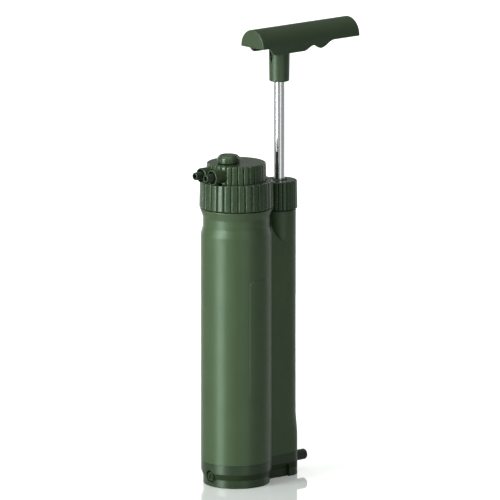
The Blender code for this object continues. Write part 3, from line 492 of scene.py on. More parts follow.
def finished(obj, body, slot, *nodes):
    """Shades a piece, sets its material and the body it rides on, and hides the CAD nodes it stands for."""
    obj.data.shade_smooth()
    obj.data.set_sharp_from_angle(angle=SHARP_ANGLE)
    weighted = obj.modifiers.new("weighted_normals", "WEIGHTED_NORMAL")
    weighted.keep_sharp = True
    weighted.weight = 80
    obj.data.materials.clear()
    obj.data.materials.append(looks[slot])
    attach(obj, body)
    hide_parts(*nodes)
    return obj


def fluting(count, depth, root):
    """Ridges with narrow valleys between them, on the points of a turned outline that lie outside root."""

    def press(angle, radius):
        if radius < root:
            return 0
        across = abs(2 * ((angle * count / (2 * math.pi)) % 1) - 1)
        return depth * across**RIDGE_POWER

    return press


# ---------------------------------------------------------------- materials


class Nodes:
    """Builds a material's node tree in few words."""

    def __init__(self, name, material=None):
        self.material = material or bpy.data.materials.new(name)
        self.material.use_nodes = True
        self.tree = self.material.node_tree
        self.shader = self.tree.nodes["Principled BSDF"]
        self.place = self.tree.nodes.new("ShaderNodeTexCoord").outputs["Object"]

    def set(self, **inputs):
        for name, value in inputs.items():
            self.shader.inputs[name.replace("_", " ")].default_value = value

    def link(self, output, node, name):
        self.tree.links.new(output, node.inputs[name])

    def noise(self, scale, detail=3.0, stretch=(1, 1, 1), roughness=0.5):
        mapping = self.tree.nodes.new("ShaderNodeMapping")
        mapping.inputs["Scale"].default_value = stretch
        self.link(self.place, mapping, "Vector")
        noise = self.tree.nodes.new("ShaderNodeTexNoise")
        noise.inputs["Scale"].default_value = scale
        noise.inputs["Detail"].default_value = detail
        noise.inputs["Roughness"].default_value = roughness
        self.link(mapping.outputs["Vector"], noise, "Vector")
        return noise.outputs["Fac"]

    def cells(self, scale):
        cells = self.tree.nodes.new("ShaderNodeTexVoronoi")
        cells.inputs["Scale"].default_value = scale
        self.link(self.place, cells, "Vector")
        return cells.outputs["Distance"]

    def ranged(self, value, low, high, start=0.3, end=0.7):
        ranged = self.tree.nodes.new("ShaderNodeMapRange")
        ranged.inputs["From Min"].default_value = start
        ranged.inputs["From Max"].default_value = end
        ranged.inputs["To Min"].default_value = low
        ranged.inputs["To Max"].default_value = high
        self.link(value, ranged, "Value")
        return ranged.outputs["Result"]

    def blend(self, factor, first, second):
        mix = self.tree.nodes.new("ShaderNodeMix")
        mix.data_type = "RGBA"
        mix.inputs["A"].default_value = (*first, 1)
        mix.inputs["B"].default_value = (*second, 1)
        self.link(factor, mix, "Factor")
        return mix.outputs["Result"]

    def bump(self, height, strength, distance, under=None):
        bump = self.tree.nodes.new("ShaderNodeBump")
        bump.inputs["Strength"].default_value = strength
        bump.inputs["Distance"].default_value = distance
        self.link(height, bump, "Height")
        if under is not None:
            self.link(under, bump, "Normal")
        return bump.outputs["Normal"]

    def product(self, first, second):
        product = self.tree.nodes.new("ShaderNodeMath")
        product.operation = "MULTIPLY"
        self.tree.links.new(first, product.inputs[0])
        self.tree.links.new(second, product.inputs[1])
        return product.outputs["Value"]

    def color(self, output):
        self.link(output, self.shader, "Base Color")

    def rough(self, output):
        self.link(output, self.shader, "Roughness")

    def normal(self, output):
        self.link(output, self.shader, "Normal")


def scaled(color, factor):
    return tuple(min(1, channel * factor) for channel in color)


def moulded_plastic(name, color, roughness=0.40, grain=1.0):
    """Satin moulded plastic: slow colour drift, patchy gloss and a very fine spark-eroded grain."""
    nodes = Nodes(name)
    drift = nodes.noise(45, 4)
    nodes.color(nodes.blend(nodes.ranged(drift, 0, 1), scaled(color, 0.94), scaled(color, 1.06)))
    patches = nodes.noise(160, 5)
    nodes.rough(nodes.ranged(patches, roughness - 0.03, roughness + 0.04))
    fine = nodes.noise(5200, 2, roughness=0.6)
    coarse = nodes.noise(900, 3)
    under = nodes.bump(coarse, 0.10 * grain, 0.00012)
    nodes.normal(nodes.bump(fine, 0.16 * grain, 0.00004, under))
    nodes.set(Specular_Tint=PLASTIC_TINT, IOR=1.5)
    return nodes.material


def shaded_waist_plastic(name, color):
    """The same plastic, with painted shade in the waist above the foot, where its specular level drops."""
    material = moulded_plastic(name, color, 0.34)
    nodes = Nodes(name, material)
    height = nodes.tree.nodes.new("ShaderNodeSeparateXYZ")
    nodes.link(nodes.place, height, "Vector")
    # painted shade: the reflections fall to a low level in the waist above the foot
    above = nodes.ranged(height.outputs["Z"], 0, 1, *WAIST_FOOT)
    below = nodes.ranged(height.outputs["Z"], 1, 0, *WAIST_HEAD)
    specular = nodes.ranged(nodes.product(above, below), SPECULAR, WAIST_SHADE_SPECULAR, 0, 1)
    nodes.link(specular, nodes.shader, "Specular IOR Level")
    return material


def natural_plastic(name, color):
    nodes = Nodes(name)
    drift = nodes.noise(70, 3)
    nodes.color(nodes.blend(nodes.ranged(drift, 0, 1), scaled(color, 0.93), color))
    nodes.rough(nodes.ranged(nodes.noise(300, 3), 0.38, 0.5))
    nodes.normal(nodes.bump(nodes.noise(3000, 2), 0.12, 0.00004))
    nodes.set(Subsurface_Weight=0.15, Subsurface_Scale=0.002)
    return nodes.material


def clear_plastic(name):
    nodes = Nodes(name)
    nodes.color(nodes.blend(nodes.noise(60, 3), (0.80, 0.86, 0.87), (0.88, 0.92, 0.92)))
    nodes.rough(nodes.ranged(nodes.noise(250, 4), 0.05, 0.16))
    nodes.set(Transmission_Weight=0.85, IOR=1.49)
    return nodes.material


def polished_steel(name):
    """Drawn and polished bar: nearly a mirror, with hair lines along its length."""
    nodes = Nodes(name)
    lines = nodes.noise(1500, 4, stretch=(1, 1, 0.012))
    nodes.color(nodes.blend(nodes.ranged(lines, 0, 1), (0.80, 0.81, 0.82), (0.92, 0.93, 0.94)))
    nodes.rough(nodes.ranged(lines, 0.035, 0.11))
    nodes.normal(nodes.bump(lines, 0.02, 0.00003))
    nodes.set(Metallic=1.0)
    return nodes.material


def drawn_wire(name):
    nodes = Nodes(name)
    lines = nodes.noise(2600, 3)
    nodes.color(nodes.blend(nodes.ranged(lines, 0, 1), (0.50, 0.51, 0.52), (0.70, 0.71, 0.72)))
    nodes.rough(nodes.ranged(lines, 0.22, 0.38))
    nodes.set(Metallic=1.0)
    return nodes.material


def turned_brass(name):
    """Brass with the rings that a lathe tool leaves."""
    nodes = Nodes(name)
    rings = nodes.noise(2200, 2, stretch=(0.02, 0.02, 1))
    nodes.color(nodes.blend(nodes.ranged(nodes.noise(200, 4), 0, 1), (0.60, 0.43, 0.17), (0.78, 0.58, 0.28)))
    nodes.rough(nodes.ranged(rings, 0.2, 0.36))
    nodes.normal(nodes.bump(rings, 0.2, 0.00005))
    nodes.set(Metallic=1.0)
    return nodes.material


def rubber(name, color):
    nodes = Nodes(name)
    dust = nodes.noise(500, 5)
    nodes.color(nodes.blend(nodes.ranged(dust, 0, 1, 0.4, 0.8), color, scaled(color, 1.8)))
    nodes.rough(nodes.ranged(dust, 0.5, 0.68))
    nodes.normal(nodes.bump(nodes.noise(2500, 2), 0.2, 0.00005))
    return nodes.material


def felt(name):
    """Pressed white fibres."""
    nodes = Nodes(name)
    fibres = nodes.noise(1800, 6, roughness=0.7)
    nodes.color(nodes.blend(nodes.ranged(fibres, 0, 1), (0.62, 0.62, 0.58), (0.86, 0.86, 0.83)))
    nodes.rough(nodes.ranged(fibres, 0.85, 0.98))
    nodes.normal(nodes.bump(fibres, 0.8, 0.0003))
    nodes.set(Sheen_Weight=0.3)
    return nodes.material


def carbon_block(name):
    """Sintered black granules, with painted shade in the gaps between them."""
    nodes = Nodes(name)
    grains = nodes.cells(1400)
    # painted shade: the black darkens towards the gaps between the granules
    depth = nodes.ranged(grains, 0, 1, 0.1, 0.6)
    nodes.color(nodes.blend(depth, (0.030, 0.030, 0.032), (0.008, 0.008, 0.009)))
    nodes.rough(nodes.ranged(grains, 0.55, 0.9, 0.1, 0.6))
    nodes.normal(nodes.bump(grains, 0.7, 0.0004))
    return nodes.material


def hollow_fibres(name):
    """White strands that run along the cartridge."""
    nodes = Nodes(name)
    strands = nodes.noise(1600, 3, stretch=(1, 1, 0.02))
    nodes.color(nodes.blend(nodes.ranged(strands, 0, 1), (0.55, 0.55, 0.50), (0.88, 0.88, 0.85)))
    nodes.rough(nodes.ranged(strands, 0.6, 0.85))
    nodes.normal(nodes.bump(strands, 0.9, 0.0005))
    return nodes.material


looks = {
    "green_body": moulded_plastic("green_body", GREEN),
    # the base cap's plastic, with painted shade in its waist above the foot
    "green_base": shaded_waist_plastic("green_base", scaled(GREEN, 0.50)),
    "green_head": moulded_plastic("green_head", scaled(GREEN, 0.64), 0.27, 0.4),
    "green_handle": moulded_plastic("green_handle", HANDLE_GREEN, 0.42),
    "port_plastic": moulded_plastic("port_plastic", PORT_GREEN, 0.36),
    "rod_steel": polished_steel("rod_steel"),
    "brass": turned_brass("brass"),
    "spring_steel": drawn_wire("spring_steel"),
    "seal_rubber": rubber("seal_rubber", (0.012, 0.012, 0.012)),
    "piston_rubber": rubber("piston_rubber", (0.26, 0.035, 0.025)),
    "natural_plastic": natural_plastic("natural_plastic", (0.74, 0.74, 0.69)),
    "clear_plastic": clear_plastic("clear_plastic"),
    "filter_pad": felt("filter_pad"),
    "carbon": carbon_block("carbon"),
    "fibre": hollow_fibres("fibre"),
}


# ---------------------------------------------------------------- pieces


def squared(obj):
    """Makes the pump barrel's round section squarer towards its foot, so that its corners swell."""
    for vertex in obj.data.vertices:
        share = (SWELL_TOP - vertex.co.z) / (SWELL_TOP - SWELL_BOTTOM)
        share = min(max(share, 0), 1)
        share = share * share * (3 - 2 * share)
        power = 2 + (FOOT_POWER - 2) * share
        x, y = vertex.co.x - AXIS_SPACING, vertex.co.y
        reach = math.hypot(x, y)
        if reach < 1e-6:
            continue
        grown = (abs(x / reach) ** power + abs(y / reach) ** power) ** (-1 / power)
        vertex.co.x = AXIS_SPACING + x * grown
        vertex.co.y = y * grown


def thread_ridge(radius, top):
    height = top - 0.7 * THREAD_PITCH
    return [
        (radius, height + THREAD_HEIGHT),
        (radius + THREAD_HEIGHT, height, 0.0002),
        (radius, height - THREAD_HEIGHT),
    ]


def web_section():
    """The web seen from above, with round roots where it grows out of the main barrel."""
    root = WEB_ROOT_FILLET
    centre_y = WEB_HALF_WIDTH + root
    centre_x = math.sqrt((MAIN_RADIUS + root) ** 2 - centre_y**2)
    touch = math.degrees(math.atan2(centre_y, centre_x))
    upper = arc(centre_x, centre_y, root, root, -90, -180 + touch, 8)
    deeper, narrower = WEB_ROOT_END
    inside = (MAIN_RADIUS - deeper, upper[-1][1] - narrower)
    side = [(AXIS_SPACING, WEB_HALF_WIDTH), *upper, inside]
    return side + [(x, -y) for x, y in reversed(side)]


def web(name, low, high, side_outline):
    """The web between the barrels: its plan cut by its side view."""
    body = prism(name, web_section(), low, high)
    keep = prism(name + "_side", side_outline, -MAIN_RADIUS, MAIN_RADIUS, FRONT)
    return combined(body, "INTERSECT", keep)


def panel(side):
    """The slightly raised blank panel on the side that faces side * Y."""
    outer = MAIN_RADIUS + PANEL_HEIGHT
    inner = MAIN_RADIUS - PANEL_ROOT
    top = PANEL_TOP + PANEL_MARGIN
    bottom = PANEL_BOTTOM - PANEL_MARGIN
    ring = revolved("panel", [(inner, top), (outer, top), (outer, bottom), (inner, bottom)], LARGE_STEPS * 2)
    edge = [
        (-PANEL_HALF_WIDTH, PANEL_BOTTOM, PANEL_CORNER),
        (PANEL_HALF_WIDTH, PANEL_BOTTOM, PANEL_CORNER),
        (PANEL_HALF_WIDTH, PANEL_TOP, PANEL_CORNER),
        (-PANEL_HALF_WIDTH, PANEL_TOP, PANEL_CORNER),
    ]
    low, high = sorted((-side * MAIN_RADIUS * 0.5, -side * MAIN_RADIUS * 1.5))
    window = prism("panel_edge", filleted(edge, 10), low, high, FRONT)
    made = combined(ring, "INTERSECT", window)
    return softened(cleaned(made), PANEL_EDGE, 2, 60)


def make_housing():
    foot = SEAM_Z + SEAM_GAP / 2
    outline = [
        (0, NECK_TOP),
        (NECK_RADIUS, NECK_TOP, 0.0003),
        *thread_ridge(NECK_RADIUS, NECK_TOP),
        (NECK_RADIUS, SHOULDER_Z, 0.0004),
        (SHOULDER_RADIUS, SHOULDER_Z, 0.0004),
        (SHOULDER_RADIUS, SHOULDER_Z - EDGE, 0.0008),
        (WAIST_RADIUS, WAIST_TOP, 0.0030),
        (WAIST_RADIUS, WAIST_BOTTOM, 0.0030),
        (MAIN_RADIUS, BARREL_TOP, 0.0030),
        *[(MAIN_RADIUS, height) for height in BARREL_RINGS],
        (MAIN_RADIUS, foot, 0.00012),
        (0, foot),
    ]
    body = revolved("housing_shell", filleted(outline), LARGE_STEPS)
    swell = [SWELL_TOP - (SWELL_TOP - SWELL_BOTTOM) * i / SWELL_RINGS for i in range(SWELL_RINGS + 1)]
    outline = [
        (0, PUMP_NECK_TOP),
        (PUMP_NECK_RADIUS, PUMP_NECK_TOP, 0.0003),
        *thread_ridge(PUMP_NECK_RADIUS, PUMP_NECK_TOP),
        (PUMP_NECK_RADIUS, PUMP_TOP, 0.0003),
        (PUMP_RADIUS, PUMP_TOP, 0.0006),
        *[(PUMP_RADIUS, height) for height in swell],
        (PUMP_RADIUS, foot, 0.00012),
        (0, foot),
    ]
    pump = revolved("pump_barrel", filleted(outline), SMALL_STEPS, PUMP_AXIS)
    squared(pump)
    sweep = arc(AXIS_SPACING, WEB_TOP, AXIS_SPACING - WEB_START, WEB_DIP, 270, 180, 40)
    inside = MAIN_RADIUS - WEB_BURIAL
    outside = AXIS_SPACING + OVERLAP
    side = [(inside, foot), (outside, foot), (outside, sweep[0][1]), *sweep, (inside, sweep[-1][1])]
    combined(body, "UNION", pump, web("web", foot, WEB_TOP, side), panel(-1), panel(1))
    outline = [
        (0, NECK_TOP + GAP),
        (NECK_BORE, NECK_TOP + GAP),
        (NECK_BORE, WAIST_BOTTOM),
        (MAIN_BORE, MAIN_BORE_TOP),
        (MAIN_BORE, foot - GAP),
        (0, foot - GAP),
    ]
    main_bore = revolved("main_bore", outline)
    outline = [
        (0, PUMP_NECK_TOP + GAP),
        (PUMP_BORE, PUMP_NECK_TOP + GAP),
        (PUMP_BORE, foot - GAP),
        (0, foot - GAP),
    ]
    pump_bore = revolved("pump_bore", outline, matrix=PUMP_AXIS)
    holes = [tube_cutter(*hole, (0, 0, TRANSFER_PORT_Z)) for hole in (TRANSFER_HOLE, FEED_HOLE)]
    combined(body, "DIFFERENCE", main_bore, pump_bore, *holes)
    finished(cleaned(body), "housing", "green_body", "housing")


def tube_cutter(radius, start, end, location, direction=(1, 0, 0)):
    """A plain round bar from start to end along a direction."""
    profile = [(0, end), (radius, end), (radius, start), (0, start)]
    return revolved("cutter", profile, HOLE_STEPS, along(direction, location))


def make_base():
    seam = SEAM_Z - SEAM_GAP / 2
    top = SEAM_Z - GAP / 2 + UPSTAND_HEIGHT
    outline = [
        (0, top),
        (MAIN_BORE - GAP, top, 0.0003),
        (MAIN_BORE - GAP, seam),
        (MAIN_RADIUS, seam, 0.00012),
        (MAIN_RADIUS, FOOT_CONE_TOP, 0.0010),
        (FOOT_RADIUS, FOOT_HEIGHT, 0.0008),
        (FOOT_RADIUS, 0, 0.0006),
        (0, 0),
    ]
    body = revolved("base_cap_shell", filleted(outline), LARGE_STEPS)
    pump = revolved(
        "pump_foot",
        filleted([(0, seam), (PUMP_RADIUS, seam, 0.00012), (PUMP_RADIUS, 0, 0.0004), (0, 0)]),
        SMALL_STEPS,
        PUMP_AXIS,
    )
    squared(pump)
    upstand = revolved(
        "pump_upstand",
        [(0, top), (PUMP_BORE - GAP, top), (PUMP_BORE - GAP, FLOOR), (0, FLOOR)],
        SMALL_STEPS,
        PUMP_AXIS,
    )
    inside = MAIN_RADIUS - WEB_BURIAL
    outside = AXIS_SPACING + OVERLAP
    side = [(inside, WEB_BOTTOM), (outside, WEB_BOTTOM), (outside, seam), (inside, seam)]
    foot_web = web("foot_web", WEB_BOTTOM, seam, side)
    outline = [
        (0, DRAIN_FACE),
        (DRAIN_BOSS_RADIUS, DRAIN_FACE, 0.0003),
        (DRAIN_BOSS_RADIUS, MAIN_CAVITY),
        (0, MAIN_CAVITY),
    ]
    boss = revolved("drain_boss", filleted(outline), HOLE_STEPS, along((-1, 0, 0), (0, 0, DRAIN_Z)))
    combined(body, "UNION", pump, upstand, foot_web, boss)
    plenum = revolved("plenum", [(0, top + GAP), (MAIN_CAVITY, top + GAP), (MAIN_CAVITY, FLOOR), (0, FLOOR)])
    outline = [
        (0, top + GAP),
        (VALVE_POCKET, top + GAP),
        (VALVE_POCKET, VALVE_SEAT_Z - GAP),
        (SUMP_RADIUS, VALVE_SEAT_Z - GAP),
        (SUMP_RADIUS, FLOOR),
        (0, FLOOR),
    ]
    sump = revolved("sump", outline, HOLE_STEPS, PUMP_AXIS)
    inlet = (AXIS_SPACING, 0, INLET_Z)
    wall = PUMP_RADIUS + CUTTER_MARGIN
    drain = (0, 0, DRAIN_Z)
    outward = (-1, 0, 0)
    combined(
        body,
        "DIFFERENCE",
        plenum,
        sump,
        tube_cutter(INLET_STUB_RADIUS + GAP, SUMP_RADIUS - 2 * CUTTER_MARGIN, wall, inlet),
        tube_cutter(DRAIN_RECESS_RADIUS, DRAIN_SEAT, MAIN_RADIUS + CUTTER_MARGIN, drain, outward),
        tube_cutter(DRAIN_SHANK_RADIUS + GAP, MAIN_CAVITY - 2 * CUTTER_MARGIN, MAIN_RADIUS, drain, outward),
        *[foot_recess(side) for side in (-1, 1)],
    )
    finished(cleaned(body), "housing", "green_base", "base_cap")


def foot_recess(side):
    """The low arch stepped into each flat side of the web, outside the main barrel's foot."""
    arch = [
        (FOOT_RECESS_START, FOOT_RECESS_LOW),
        (FOOT_RECESS_END, FOOT_RECESS_LOW),
        (FOOT_RECESS_END, FOOT_RECESS_PEAK, 0.0012),
        (FOOT_RECESS_BEND, FOOT_RECESS_TOP, 0.0030),
        (FOOT_RECESS_START, FOOT_RECESS_TOP),
    ]
    face = side * (PUMP_RADIUS - FOOT_RECESS_DEPTH)
    low, high = sorted((-face, -face - side * FOOT_RECESS_WIDTH))
    cutter = prism("foot_recess", filleted(arch, 8), low, high, FRONT)
    foot = [(0, FOOT_KEEP), (FOOT_RADIUS, FOOT_KEEP), (FOOT_RADIUS, -FOOT_KEEP), (0, -FOOT_KEEP)]
    return combined(cutter, "DIFFERENCE", revolved("foot_keep", foot, LARGE_STEPS))


def make_inlet():
    root = PUMP_RADIUS + GAP / 3
    outline = filleted(
        [
            (INLET_BORE, INLET_REACH, 0.0003),
            (INLET_RADIUS, INLET_REACH, 0.0008),
            (INLET_RADIUS, root + INLET_BEAD_WIDTH, 0.0004),
            (INLET_RADIUS + INLET_BEAD, root, 0.0001),
            (INLET_STUB_RADIUS, root),
            (INLET_STUB_RADIUS, SUMP_RADIUS + GAP),
            (INLET_BORE, SUMP_RADIUS + GAP),
        ]
    )
    place = along((1, 0, 0), (AXIS_SPACING, 0, INLET_Z))
    spigot = revolved("inlet_hose_tube", outline, TUBE_STEPS, place)
    finished(spigot, "housing", "port_plastic", "inlet_spigot")


def make_drain():
    face = DRAIN_FACE + GAP
    outline = filleted(
        [
            (0, face),
            (DRAIN_HEAD_RADIUS, face, 0.0003),
            (DRAIN_HEAD_RADIUS, DRAIN_HEAD_BACK),
            (DRAIN_SHANK_RADIUS, DRAIN_HEAD_BACK),
            (DRAIN_SHANK_RADIUS, DRAIN_SHANK_END),
            (0, DRAIN_SHANK_END),
        ],
        3,
    )
    place = along((-1, 0, 0), (0, 0, DRAIN_Z))
    plug = revolved("drain_plug_body", outline, TUBE_STEPS, place)
    signs = ((-1, -1), (1, -1), (1, 1), (-1, 1))
    corners = [(x * SLOT_HALF_LENGTH, y * SLOT_HALF_WIDTH, SLOT_HALF_WIDTH / 2) for x, y in signs]
    turned = place @ Matrix.Rotation(SLOT_ANGLE, 4, "Z")
    slot = prism("coin_slot", filleted(corners, 3), face - SLOT_DEPTH, face + SLOT_DEPTH, turned)
    combined(plug, "DIFFERENCE", slot)
    finished(cleaned(plug), "drain", "green_base", "drain_plug")


def make_collar():
    outline = filleted(
        [
            (HEAD_RADIUS + GAP, COLLAR_TOP, 0.0003),
            (COLLAR_TOP_RADIUS, COLLAR_TOP, 0.0009),
            (COLLAR_RADIUS, COLLAR_BOTTOM, 0.0007),
            (COLLAR_BORE, COLLAR_BOTTOM, 0.0003),
            (COLLAR_BORE, COLLAR_LIP_Z),
            (HEAD_RADIUS + GAP, COLLAR_LIP_Z),
        ]
    )
    press = fluting(LARGE_FLUTES, FLUTE_DEPTH, COLLAR_TOP_RADIUS - FLUTE_ROOT)
    collar = revolved("screw_collar", outline, LARGE_FLUTES * FLUTE_STEPS, press=press)
    finished(collar, "collar", "green_head", "collar_ring")


def make_head():
    flange_top = COLLAR_LIP_Z - GAP
    flange_bottom = NECK_TOP + GAP
    low, high = HEAD_GROOVE
    outline = [
        (0, HEAD_TOP),
        (HEAD_TOP_RADIUS, HEAD_TOP, 0.0012),
        (HEAD_RADIUS, flange_top + HEAD_UNDERCUT_HEIGHT),
        (HEAD_RADIUS - HEAD_UNDERCUT, flange_top),
        (HEAD_FLANGE_RADIUS, flange_top),
        (HEAD_FLANGE_RADIUS, flange_bottom),
        (HEAD_PLUG_RADIUS, flange_bottom),
        (HEAD_PLUG_RADIUS, high),
        (HEAD_PLUG_RADIUS - HEAD_GROOVE_DEPTH, high),
        (HEAD_PLUG_RADIUS - HEAD_GROOVE_DEPTH, low),
        (HEAD_PLUG_RADIUS, low),
        (HEAD_PLUG_RADIUS, HEAD_PLUG_BOTTOM),
        (0, HEAD_PLUG_BOTTOM),
    ]
    body = revolved("head_drum", filleted(outline), LARGE_FLUTES * FLUTE_STEPS, press=drum_fluting())
    boss = [(0, PORT_FACE), (PORT_RADIUS, PORT_FACE, 0.0004), (PORT_RADIUS, PORT_ROOT), (0, PORT_ROOT)]
    for side in (-1, 1):
        combined(body, "UNION", revolved("port_boss", filleted(boss), TUBE_STEPS, port_place(side)))
    socket = [
        (0, PLENUM_TOP),
        (PLENUM_RADIUS, PLENUM_TOP),
        (PLENUM_RADIUS, PLENUM_BOTTOM),
        (SOCKET_RADIUS, PLENUM_BOTTOM),
        (SOCKET_RADIUS, HEAD_PLUG_BOTTOM - GAP),
        (0, HEAD_PLUG_BOTTOM - GAP),
    ]
    pocket = [
        (POCKET_OUTER, POCKET_TOP),
        (POCKET_OUTER, HEAD_PLUG_BOTTOM - GAP),
        (POCKET_INNER, HEAD_PLUG_BOTTOM - GAP),
        (POCKET_INNER, POCKET_TOP),
    ]
    top = HEAD_TOP + GAP
    hole = [(0, top), (STEM_HOLE, top), (STEM_HOLE, STEM_HOLE_BOTTOM), (0, STEM_HOLE_BOTTOM)]
    cutters = [
        revolved("socket", socket, HOLE_STEPS),
        revolved("plug_pocket", pocket, TUBE_STEPS),
        revolved("stem_hole", hole, HOLE_STEPS, Matrix.Translation((KNOB_X, 0, 0))),
    ]
    outward = (-1, 0, 0)
    for side in (-1, 1):
        start = (0, side * PORT_Y, PORT_Z)
        face = PORT_FACE + CUTTER_MARGIN
        bore_end = PORT_RECESS_END + CUTTER_MARGIN
        cutters.append(tube_cutter(PORT_RECESS_RADIUS, PORT_RECESS_END, face, start, outward))
        cutters.append(tube_cutter(SPIGOT_BORE, PORT_BORE_START, bore_end, start, outward))
    combined(body, "DIFFERENCE", *cutters)
    finished(cleaned(body), "head", "green_head", "outlet_head")


def port_place(side):
    """Puts a piece turned about Z on the axis of the hose port at side * Y, facing out."""
    return along((-1, 0, 0), (0, side * PORT_Y, PORT_Z))


def drum_fluting():
    """The head's flutes, which stop at its flange."""
    flutes = fluting(LARGE_FLUTES, FLUTE_DEPTH, HEAD_TOP_RADIUS - FLUTE_ROOT)

    def press(angle, radius):
        return flutes(angle, radius) if radius <= HEAD_RADIUS + GAP else 0

    return press


def make_outlet_spigots():
    seat = PORT_RECESS_END + GAP
    outline = filleted(
        [
            (SPIGOT_BORE, SPIGOT_TIP, 0.0002),
            (SPIGOT_TIP_RADIUS, SPIGOT_TIP, 0.0005),
            (SPIGOT_ROOT_RADIUS, seat + SPIGOT_ROOT, 0.0004),
            (PORT_RECESS_RADIUS - GAP / 2, seat + SPIGOT_FLANGE),
            (PORT_RECESS_RADIUS - GAP / 2, seat),
            (SPIGOT_BORE, seat),
        ]
    )
    for name, node, side in (
        ("hose_spigot_front", "outlet_spigot_front", -1),
        ("hose_spigot_rear", "outlet_spigot_rear", 1),
    ):
        finished(revolved(name, outline, TUBE_STEPS, port_place(side)), "head", "port_plastic", node)


def make_knob():
    outline = filleted(
        [
            (0, KNOB_TOP - KNOB_DISH),
            *[(radius, KNOB_TOP - depth, corner) for radius, depth, corner in KNOB_CROWN],
            (KNOB_RADIUS, KNOB_BOTTOM, 0.0005),
            (KNOB_SOCKET_RADIUS, KNOB_BOTTOM),
            (KNOB_SOCKET_RADIUS, KNOB_BOTTOM + KNOB_SOCKET_DEPTH),
            (0, KNOB_BOTTOM + KNOB_SOCKET_DEPTH),
        ]
    )
    press = fluting(KNOB_FLUTES, KNOB_FLUTE_DEPTH, KNOB_RADIUS - KNOB_FLUTE_ROOT)
    axis = Matrix.Translation((KNOB_X, 0, 0))
    knob = revolved("vent_knob_cap", outline, KNOB_FLUTES * FLUTE_STEPS * 2, axis, press)
    finished(knob, "vent", "green_head", "vent_knob")


def make_gland():
    outline = filleted(
        [
            (NUT_MOUTH, NUT_TOP, 0.0004),
            (NUT_TOP_RADIUS, NUT_TOP, 0.0009),
            (NUT_RADIUS, NUT_BOTTOM, 0.0004),
            (NUT_BORE, NUT_BOTTOM),
            (NUT_BORE, NUT_LIP_Z),
            (NUT_MOUTH, NUT_LIP_Z),
        ]
    )
    press = fluting(NUT_FLUTES, NUT_FLUTE_DEPTH, NUT_TOP_RADIUS - NUT_FLUTE_ROOT)
    nut = revolved("gland_nut_cap", outline, NUT_FLUTES * FLUTE_STEPS, PUMP_AXIS, press)
    finished(nut, "nut", "green_head", "gland_nut")
    hole = ROD_RADIUS + ROD_CLEARANCE
    lip = filleted(
        [
            (hole, NUT_TOP - 0.0004, 0.0001),
            (hole + WIPER_LIP, NUT_TOP - 0.0001, 0.0001),
            (hole + 2 * WIPER_LIP, NUT_TOP - WIPER_SINK, 0.0003),
            (NUT_MOUTH - GAP / 2, NUT_TOP - WIPER_SINK, 0.0001),
            (NUT_MOUTH - GAP / 2, NUT_LIP_Z),
            (hole, NUT_LIP_Z),
        ]
    )
    finished(revolved("wiper_lip", lip, TUBE_STEPS, PUMP_AXIS), "gland", "seal_rubber", "rod_wiper")


def make_rod():
    outline = filleted(
        [
            (0, ROD_TOP),
            (ROD_RADIUS, ROD_TOP, 0.0003),
            (ROD_RADIUS, ROD_SHOULDER, 0.0002),
            (ROD_TAIL_RADIUS, ROD_SHOULDER),
            (ROD_TAIL_RADIUS, ROD_BOTTOM),
            (ROD_THREAD_RADIUS, ROD_BOTTOM),
            (ROD_THREAD_RADIUS, ROD_THREAD_TOP),
            (0, ROD_THREAD_TOP),
        ]
    )
    rod = revolved("polished_rod", outline, SMALL_STEPS, PUMP_AXIS)
    finished(rod, "rod", "rod_steel", "pump_rod")


def make_valve_springs():
    """The springs on the two valve balls, each wound to the height of its CAD part."""
    for valve in ("inlet_valve", "transfer_valve"):
        low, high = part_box(valve + "_spring")
        axis = Matrix.Translation(((low[0] + high[0]) / 2, 0, 0))
        spring = coiled(valve + "_coil", SPRING_RADIUS, SPRING_WIRE, SPRING_TURNS, low[2], high[2], axis)
        finished(spring, "housing", "spring_steel", valve + "_spring")
        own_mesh(spring)


def skirt_outline():
    """The handle's side view: a deep skirt round the neck, a finger groove, a bump, then straight ends."""
    knots = [  # along the arms and how far down
        (-HANDLE_SHORT_ARM - CUTTER_MARGIN, 0),
        (-0.0185, 0),
        (-0.0125, SKIRT_DEEP),
        (0.0118, SKIRT_DEEP),
        (0.0202, SKIRT_GROOVE),
        (0.0266, SKIRT_BUMP),
        (0.0378, 0),
        (HANDLE_LONG_ARM + CUTTER_MARGIN, 0),
    ]
    points = [(knots[0][0], HANDLE_END_Z)]
    for (start, from_depth), (end, to_depth) in zip(knots, knots[1:]):
        count = 1 if from_depth == to_depth else SKIRT_STEPS
        for i in range(1, count + 1):
            share = i / count
            eased = (1 - math.cos(math.pi * share)) / 2
            depth = from_depth + (to_depth - from_depth) * eased
            points.append((start + (end - start) * share, HANDLE_END_Z - depth))
    above = HANDLE_APEX_Z + HANDLE_STOCK
    return points + [(points[-1][0], above), (points[0][0], above)]


def half_round(name, half_width, start, end, apex, low):
    """A bar along X with a half-round top and straight sides down to low."""
    top = arc(0, apex - half_width, half_width, half_width, 0, 180, HANDLE_ARC_STEPS)
    profile = [(half_width, low), *top, (-half_width, low)]
    return prism(name, profile, start, end, PUMP_AXIS @ ACROSS)


